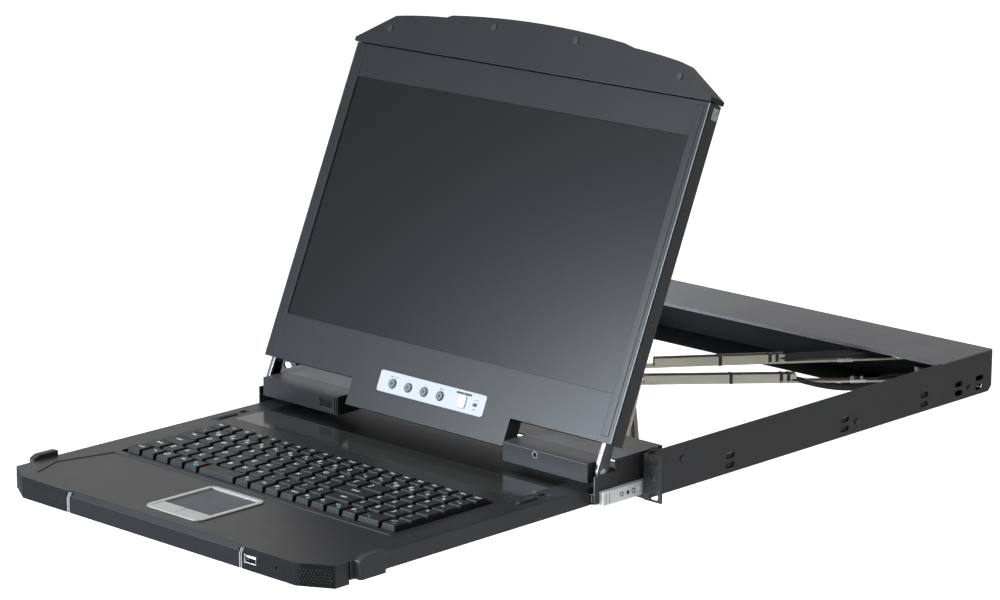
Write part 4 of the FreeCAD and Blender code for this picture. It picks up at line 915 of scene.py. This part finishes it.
def grip_dots(name, start, end, rows):
    """Small raised studs in staggered rows on the drawer's front, between two plan points."""
    start = Vector(start)
    end = Vector(end)
    along, out = along_and_out(start, end)
    shape = bmesh.new()
    for row in range(rows):
        z = NOSE_BOTTOM + STUD_BASE + row * STUD_STEP
        first = 0.75 if row % 2 else 0.25
        for column in range(int((end - start).length / STUD_PITCH)):
            centre = start + along * STUD_PITCH * (column + first)
            base = [shape.verts.new(centre + along * dx + Vector((0, 0, z + dz)))
                    for dx, dz in ((-STUD_HALF, 0), (0, -STUD_HALF), (STUD_HALF, 0), (0, STUD_HALF))]
            tip = shape.verts.new(centre + out * STUD_HEIGHT + Vector((0, 0, z)))
            for i in range(4):
                shape.faces.new((base[i], base[(i + 1) % 4], tip))
    # The studs take the front's darker plastic, painted shade
    finished(name, shape, "shaded_nose_plastic", "keyboard_drawer", 0)


def seam_clip(name, x):
    """The pale clip at a joint in the front face: two narrow strips with a kink at the top."""
    y = NOSE_FRONT - 0.0002
    low = NOSE_BOTTOM + 0.0006
    bend = SHELL_TOP - 0.0065
    top = SHELL_TOP - 0.0010
    for index, step in enumerate((0.0, CLIP_PAIR)):
        left = x + step
        right = left + CLIP_WIDTH
        outline = [(left, y, low), (right, y, low), (right, y, bend), (right + BAND_KINK, y, top),
                   (left + BAND_KINK, y, top), (left, y, bend)]
        prism(f"{name}_{index}", outline, (0, 0.0010, 0), "button_plastic", "keyboard_drawer", 0)


def pad_border():
    """The black line round the touchpad's face."""
    low, high = islands("touchpad")[0]
    shape = bmesh.new()
    rings = []
    for inset in (0.0, PAD_LINE):
        corners = ((low.x + inset, low.y + inset), (high.x - inset, low.y + inset),
                   (high.x - inset, high.y - inset), (low.x + inset, high.y - inset))
        for z in (high.z - 0.0003, high.z + 0.0001):
            rings.append([shape.verts.new((x, y, z)) for x, y in corners])
    outer_low, outer_high, inner_low, inner_high = rings
    for a, b in ((outer_low, outer_high), (outer_high, inner_high), (inner_high, inner_low),
                 (inner_low, outer_low)):
        for i in range(4):
            shape.faces.new((a[i], a[(i + 1) % 4], b[(i + 1) % 4], b[i]))
    finished("pad_border", shape, "dark_parts_print_and_shade", "keyboard_drawer", 0)


def slimmed(shape):
    """Draws a catch's sides in a little, clear of the rounded corners of its slot."""
    low = [min(v.co[i] for v in shape.verts) for i in (0, 1)]
    high = [max(v.co[i] for v in shape.verts) for i in (0, 1)]
    for vertex in shape.verts:
        for i in (0, 1):
            share = (vertex.co[i] - (low[i] + high[i]) / 2) / (high[i] - low[i])
            vertex.co[i] -= share * CATCH_EASE


class CONSOLE_OT_drawer(Operator):
    """Build the keyboard drawer: its tray, moulded shell, touchpad and small parts"""
    bl_idname = "console.drawer"
    bl_label = "Keyboard drawer"

    def execute(self, context):
        rounded("keyboard_tray", "coated_steel")
        shell = rounded("keyboard_shell", "shell_plastic", context.scene.console_sizes.moulded_edge,
                        segments=3, change=front_band)
        # The shell's faces take the plain plastic or its lighter and darker copies, painted light and shade
        paint(shell, *SHELL_FINISHES)
        for face in shell.data.polygons:
            face.material_index = shell_slot(face.center, face.normal)
        rounded("side_lugs", "coated_steel", 0.0006)
        rounded("front_socket", "nickel_steel", 0.0002)
        rounded("touchpad_frame", "silver_plastic", 0.0003)
        rounded("touchpad", "pad_plastic", 0.0003)
        for node in ("touchpad_left_button", "touchpad_right_button"):
            rounded(node, "silver_plastic", 0.0004)
        rounded("status_strip", "gloss_black", 0.0002)
        for node in ("left_release_catch", "right_release_catch"):
            rounded(node, "shell_plastic", 0.0006, change=slimmed)
        for patch in STUD_PATCHES:
            grip_dots(*patch)
        corner_ridges()
        for name, x in SEAM_CLIPS:
            seam_clip(name, x)
        block("socket_tongue", (0.1146, NOSE_FRONT + 0.0004, -0.0112),
              (0.1254, NOSE_FRONT + 0.0100, -0.0094), "white_plastic", "keyboard_drawer", 0.0002)
        pad_border()
        return {"FINISHED"}


# Cable arms: the angle of each rear link, its bracket's pivot, the floor of its channel, how far
# its cables sag, and where they go into the housing
ARM_ANGLES = {"upper": 37.958, "lower": 42.934}
ARM_PIVOTS = {"upper": (0.150, 0.460), "lower": (0.168, 0.460)}
ARM_BASE = {"upper": 0.0072, "lower": -0.0118}
CABLE_SAG = {"upper": 0.0, "lower": 0.0125}
CABLE_ENTRIES = {"upper": (0.182, 0.476, 0.0055), "lower": (0.188, 0.476, -0.0110)}

# Each cable's side and height over the channel's floor, and the radius of both
CABLES = ((-0.0030, 0.0052), (0.0030, 0.0066))
CABLE_RADIUS = 0.0024

# Along the rear link: the strap clamp's ends, its screws and their profile, and the cable ties
CLAMP_ENDS = (0.050, 0.066)
CLAMP_SCREWS = (0.0535, 0.0625)
CLAMP_SCREW = ((0.0, 0.0014), (0.0009, 0.0014), (0.0010, 0.0022), (0.0019, 0.0020),
               (0.0022, 0.0012), (0.0022, 0.0))
TIES = (0.124, 0.131, 0.180)
TIE_WIDTH = 0.0034


def arm_place(arm):
    """The rear link's own frame: X runs from its bracket to its elbow."""
    return shift(*ARM_PIVOTS[arm], 0) @ turn(-90 - ARM_ANGLES[arm], "Z")


def cable_points(arm, index, side, lift):
    """From inside the channel over the strap, round the bracket and into the housing."""
    base = ARM_BASE[arm]
    sag = CABLE_SAG[arm]
    local = [(0.150, side * 0.5, base + 0.0044), (0.124, side * 0.6, base + 0.0046),
             (0.098, side * 2.2, base + lift - sag * 0.7), (0.070, side * 2.8, base + lift - sag),
             (0.045, side * 2.4, base + lift - sag * 0.8), (0.022, side - 0.012, base + lift - 0.001)]
    points = [arm_place(arm) @ Vector(p) for p in local]
    entry = Vector(CABLE_ENTRIES[arm])
    beside = 0.0025 * (index * 2 - 1)
    return points + [
        Vector((entry.x - 0.004, entry.y - 0.022, points[-1].z - 0.001 + index * 0.002)),
        entry + Vector((beside, -0.008, 0)),
        entry + Vector((beside, 0.010, 0))]


def cable_run(name, points, arm):
    """A cable that bends at the arm's bracket, from the channel into the cable housing."""
    curve = bpy.data.curves.new(name, "CURVE")
    curve.dimensions = "3D"
    curve.bevel_depth = CABLE_RADIUS
    curve.bevel_resolution = 4
    curve.resolution_u = 8
    curve.use_fill_caps = True
    spline = curve.splines.new("NURBS")
    spline.points.add(len(points) - 1)
    for point, place in zip(spline.points, points):
        point.co = (*place, 1.0)
    spline.order_u = 3
    spline.use_endpoint_u = True
    holder = link_object(name + "_curve", curve)
    mesh = shown_mesh(holder)
    bpy.data.objects.remove(holder)
    piece = paint(link_object(name, mesh), "cable_rubber")
    smooth(piece)
    x, y = ARM_PIVOTS[arm]
    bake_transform(piece, "chassis", f"{arm}_rear_link", (x + 0.012, y + 0.004, 0), (x - 0.030, y - 0.030, 0))


def arm_cables(arm):
    """Two dark cables over an arm's strap, the strap's clamp, and the ties round the channel."""
    for index, (side, lift) in enumerate(CABLES):
        cable_run(f"{arm}_cable_{index}", cable_points(arm, index, side, lift), arm)
    place = arm_place(arm)
    base = ARM_BASE[arm]
    body = f"{arm}_rear_link"
    block(f"{arm}_strap_clamp", (CLAMP_ENDS[0], -0.0062, base - 0.0006),
          (CLAMP_ENDS[1], 0.0062, base + 0.0030), "nickel_steel", body, 0.0006, place)
    for index, x in enumerate(CLAMP_SCREWS):
        turned(f"{arm}_clamp_screw_{index}", CLAMP_SCREW, place @ shift(x, 0.0, base + 0.0030),
               "nickel_steel", body, 24)
    for index, x in enumerate(TIES):
        block(f"{arm}_tie_{index}", (x, -0.0054, base - 0.0004),
              (x + TIE_WIDTH, 0.0054, base + 0.0094), "cable_rubber", body, 0.0004, place)


class CONSOLE_OT_cable_arms(Operator):
    """Build the folding cable arms and the cable bundles they carry"""
    bl_idname = "console.cable_arms"
    bl_label = "Cable arms"

    def execute(self, context):
        arm_cables("upper")
        arm_cables("lower")
        for arm in ("upper", "lower"):
            for end in ("rear", "front"):
                rounded(f"{arm}_{end}_link", "warm_steel")
                rounded(f"{arm}_{end}_cables", "cable_rubber")
        return {"FINISHED"}


# Stage: the camera's place, its azimuth, elevation and roll in degrees, and its lens, all fitted
# to the photograph
CAMERA_PLACE = (2.1957, -2.2495, 0.8936)
CAMERA_ANGLES = (43.68, 13.82, 0.18)
CAMERA_LENS = 128.9

# The lamps: place, target, size, power and tint
LAMPS = {
    "key_light": ((-1.0, -2.0, 2.8), (0, 0, 0.1), (1.8, 1.8), 56.0, (1, 1, 1)),
    "side_light": ((2.6, -0.2, 1.6), (0, 0, 0.1), (1.5, 1.5), 6.5, (1, 1, 1)),
    "rim_light": ((-2.5, 1.9, 0.95), (0, 0, 0), (1.6, 1.0), 2.6, (1, 1, 1)),
    "screen_light": ((-0.98, -2.02, 0.62), (0.12, 0.0, 0.10), (0.9, 0.9), 66.0, (0.80, 0.90, 1.0)),
}

# The world's light, and the floor with the lift that only the camera sees
WORLD_STRENGTH = 0.315
WHITE = (1.0, 1.0, 1.0, 1.0)
FLOOR_COLOUR = (0.88, 0.88, 0.88, 1.0)
FLOOR_LIFT = 0.80
FLOOR_HEIGHT = -0.30
FLOOR_HALF = 16.0


def area_light(name, place, target, size, power, tint):
    lamp = bpy.data.lights.new(name, "AREA")
    lamp.shape = "RECTANGLE"
    lamp.size, lamp.size_y = size
    lamp.energy = power
    lamp.color = tint
    light = link_object(name, lamp)
    light.location = place
    aim = Vector(target) - Vector(place)
    light.rotation_euler = aim.to_track_quat("-Z", "Y").to_euler()
    light.visible_camera = False


def background(tree, strength):
    """A white background node for the world."""
    node = tree.nodes.new("ShaderNodeBackground")
    node.inputs["Color"].default_value = WHITE
    node.inputs["Strength"].default_value = strength
    return node.outputs["Background"]


def world_light():
    """A soft white world, which the camera itself sees as plain white."""
    world = bpy.data.worlds.new("studio")
    bpy.context.scene.world = world
    world.use_nodes = True
    tree = world.node_tree
    tree.nodes.clear()
    output = tree.nodes.new("ShaderNodeOutputWorld")
    path = tree.nodes.new("ShaderNodeLightPath")
    mix = tree.nodes.new("ShaderNodeMixShader")
    tree.links.new(path.outputs["Is Camera Ray"], mix.inputs["Fac"])
    tree.links.new(background(tree, WORLD_STRENGTH), mix.inputs[1])
    tree.links.new(background(tree, 1.0), mix.inputs[2])
    tree.links.new(mix.outputs["Shader"], output.inputs["Surface"])


def floor_piece():
    """The pale floor, lifted to white for the camera alone, so that it keeps the shadows."""
    material, tree, shader = shader_nodes("floor_paper")
    shader.inputs["Base Color"].default_value = FLOOR_COLOUR
    shader.inputs["Roughness"].default_value = 0.9
    shader.inputs["Specular IOR Level"].default_value = 0.1
    path = tree.nodes.new("ShaderNodeLightPath")
    lift = tree.nodes.new("ShaderNodeMath")
    lift.operation = "MULTIPLY"
    lift.inputs[1].default_value = FLOOR_LIFT
    tree.links.new(path.outputs["Is Camera Ray"], lift.inputs[0])
    shader.inputs["Emission Color"].default_value = WHITE
    tree.links.new(lift.outputs["Value"], shader.inputs["Emission Strength"])
    shape = bmesh.new()
    bmesh.ops.create_grid(shape, x_segments=2, y_segments=2, size=FLOOR_HALF)
    bmesh.ops.translate(shape, vec=(0, 0, FLOOR_HEIGHT), verts=shape.verts)
    floor = link_shape("floor", shape)
    floor.data.materials.append(material)


def camera():
    """The camera at the photograph's viewing angle."""
    azimuth, elevation, roll = (math.radians(angle) for angle in CAMERA_ANGLES)
    right = Vector((math.cos(azimuth), math.sin(azimuth), 0))
    back = Vector((math.sin(azimuth) * math.cos(elevation),
                   -math.cos(azimuth) * math.cos(elevation), math.sin(elevation)))
    rolled = right * math.cos(roll) + back.cross(right) * math.sin(roll)
    data = bpy.data.cameras.new("camera")
    data.lens = CAMERA_LENS
    data.sensor_width = 36.0
    data.clip_end = 60.0
    view = link_object("camera", data)
    place = Matrix((rolled, back.cross(rolled), back)).transposed().to_4x4()
    place.translation = CAMERA_PLACE
    view.matrix_world = place
    bpy.context.scene.camera = view


class CONSOLE_OT_stage(Operator):
    """Set the camera, the floor and the studio lights"""
    bl_idname = "console.stage"
    bl_label = "Stage"

    def execute(self, context):
        context.scene.view_settings.view_transform = "Standard"
        camera()
        world_light()
        floor_piece()
        for name, settings in LAMPS.items():
            area_light(name, *settings)
        return {"FINISHED"}


class CONSOLE_PT_pieces(Panel):
    """Lists the pieces of the console drawer in build order"""
    bl_idname = "CONSOLE_PT_pieces"
    bl_label = "Console Drawer"
    bl_space_type = "VIEW_3D"
    bl_region_type = "UI"
    bl_category = "Console"

    def draw(self, context):
        column = self.layout.column()
        for operator in BUILDERS:
            column.operator(operator.bl_idname)
        for group in (context.scene.console_sizes, context.scene.console_colours):
            for name in group.__annotations__:
                column.prop(group, name)


BUILDERS = (CONSOLE_OT_stage, CONSOLE_OT_chassis, CONSOLE_OT_sockets, CONSOLE_OT_slides,
            CONSOLE_OT_carriage, CONSOLE_OT_panel, CONSOLE_OT_drawer, CONSOLE_OT_keys,
            CONSOLE_OT_cable_arms)
CLASSES = (ConsoleSizes, ConsoleColours) + BUILDERS + (CONSOLE_PT_pieces,)


def register():
    for cls in CLASSES:
        bpy.utils.register_class(cls)
    bpy.types.Scene.console_sizes = PointerProperty(type=ConsoleSizes)
    bpy.types.Scene.console_colours = PointerProperty(type=ConsoleColours)


def unregister():
    del bpy.types.Scene.console_colours
    del bpy.types.Scene.console_sizes
    for cls in reversed(CLASSES):
        bpy.utils.unregister_class(cls)


def main():
    register()
    make_finishes(bpy.context.scene.console_colours)
    bpy.ops.console.stage()
    bpy.ops.console.chassis()
    bpy.ops.console.sockets()
    bpy.ops.console.slides()
    bpy.ops.console.carriage()
    bpy.ops.console.panel()
    bpy.ops.console.drawer()
    bpy.ops.console.keys()
    bpy.ops.console.cable_arms()


if __name__ == "__main__":
    main()
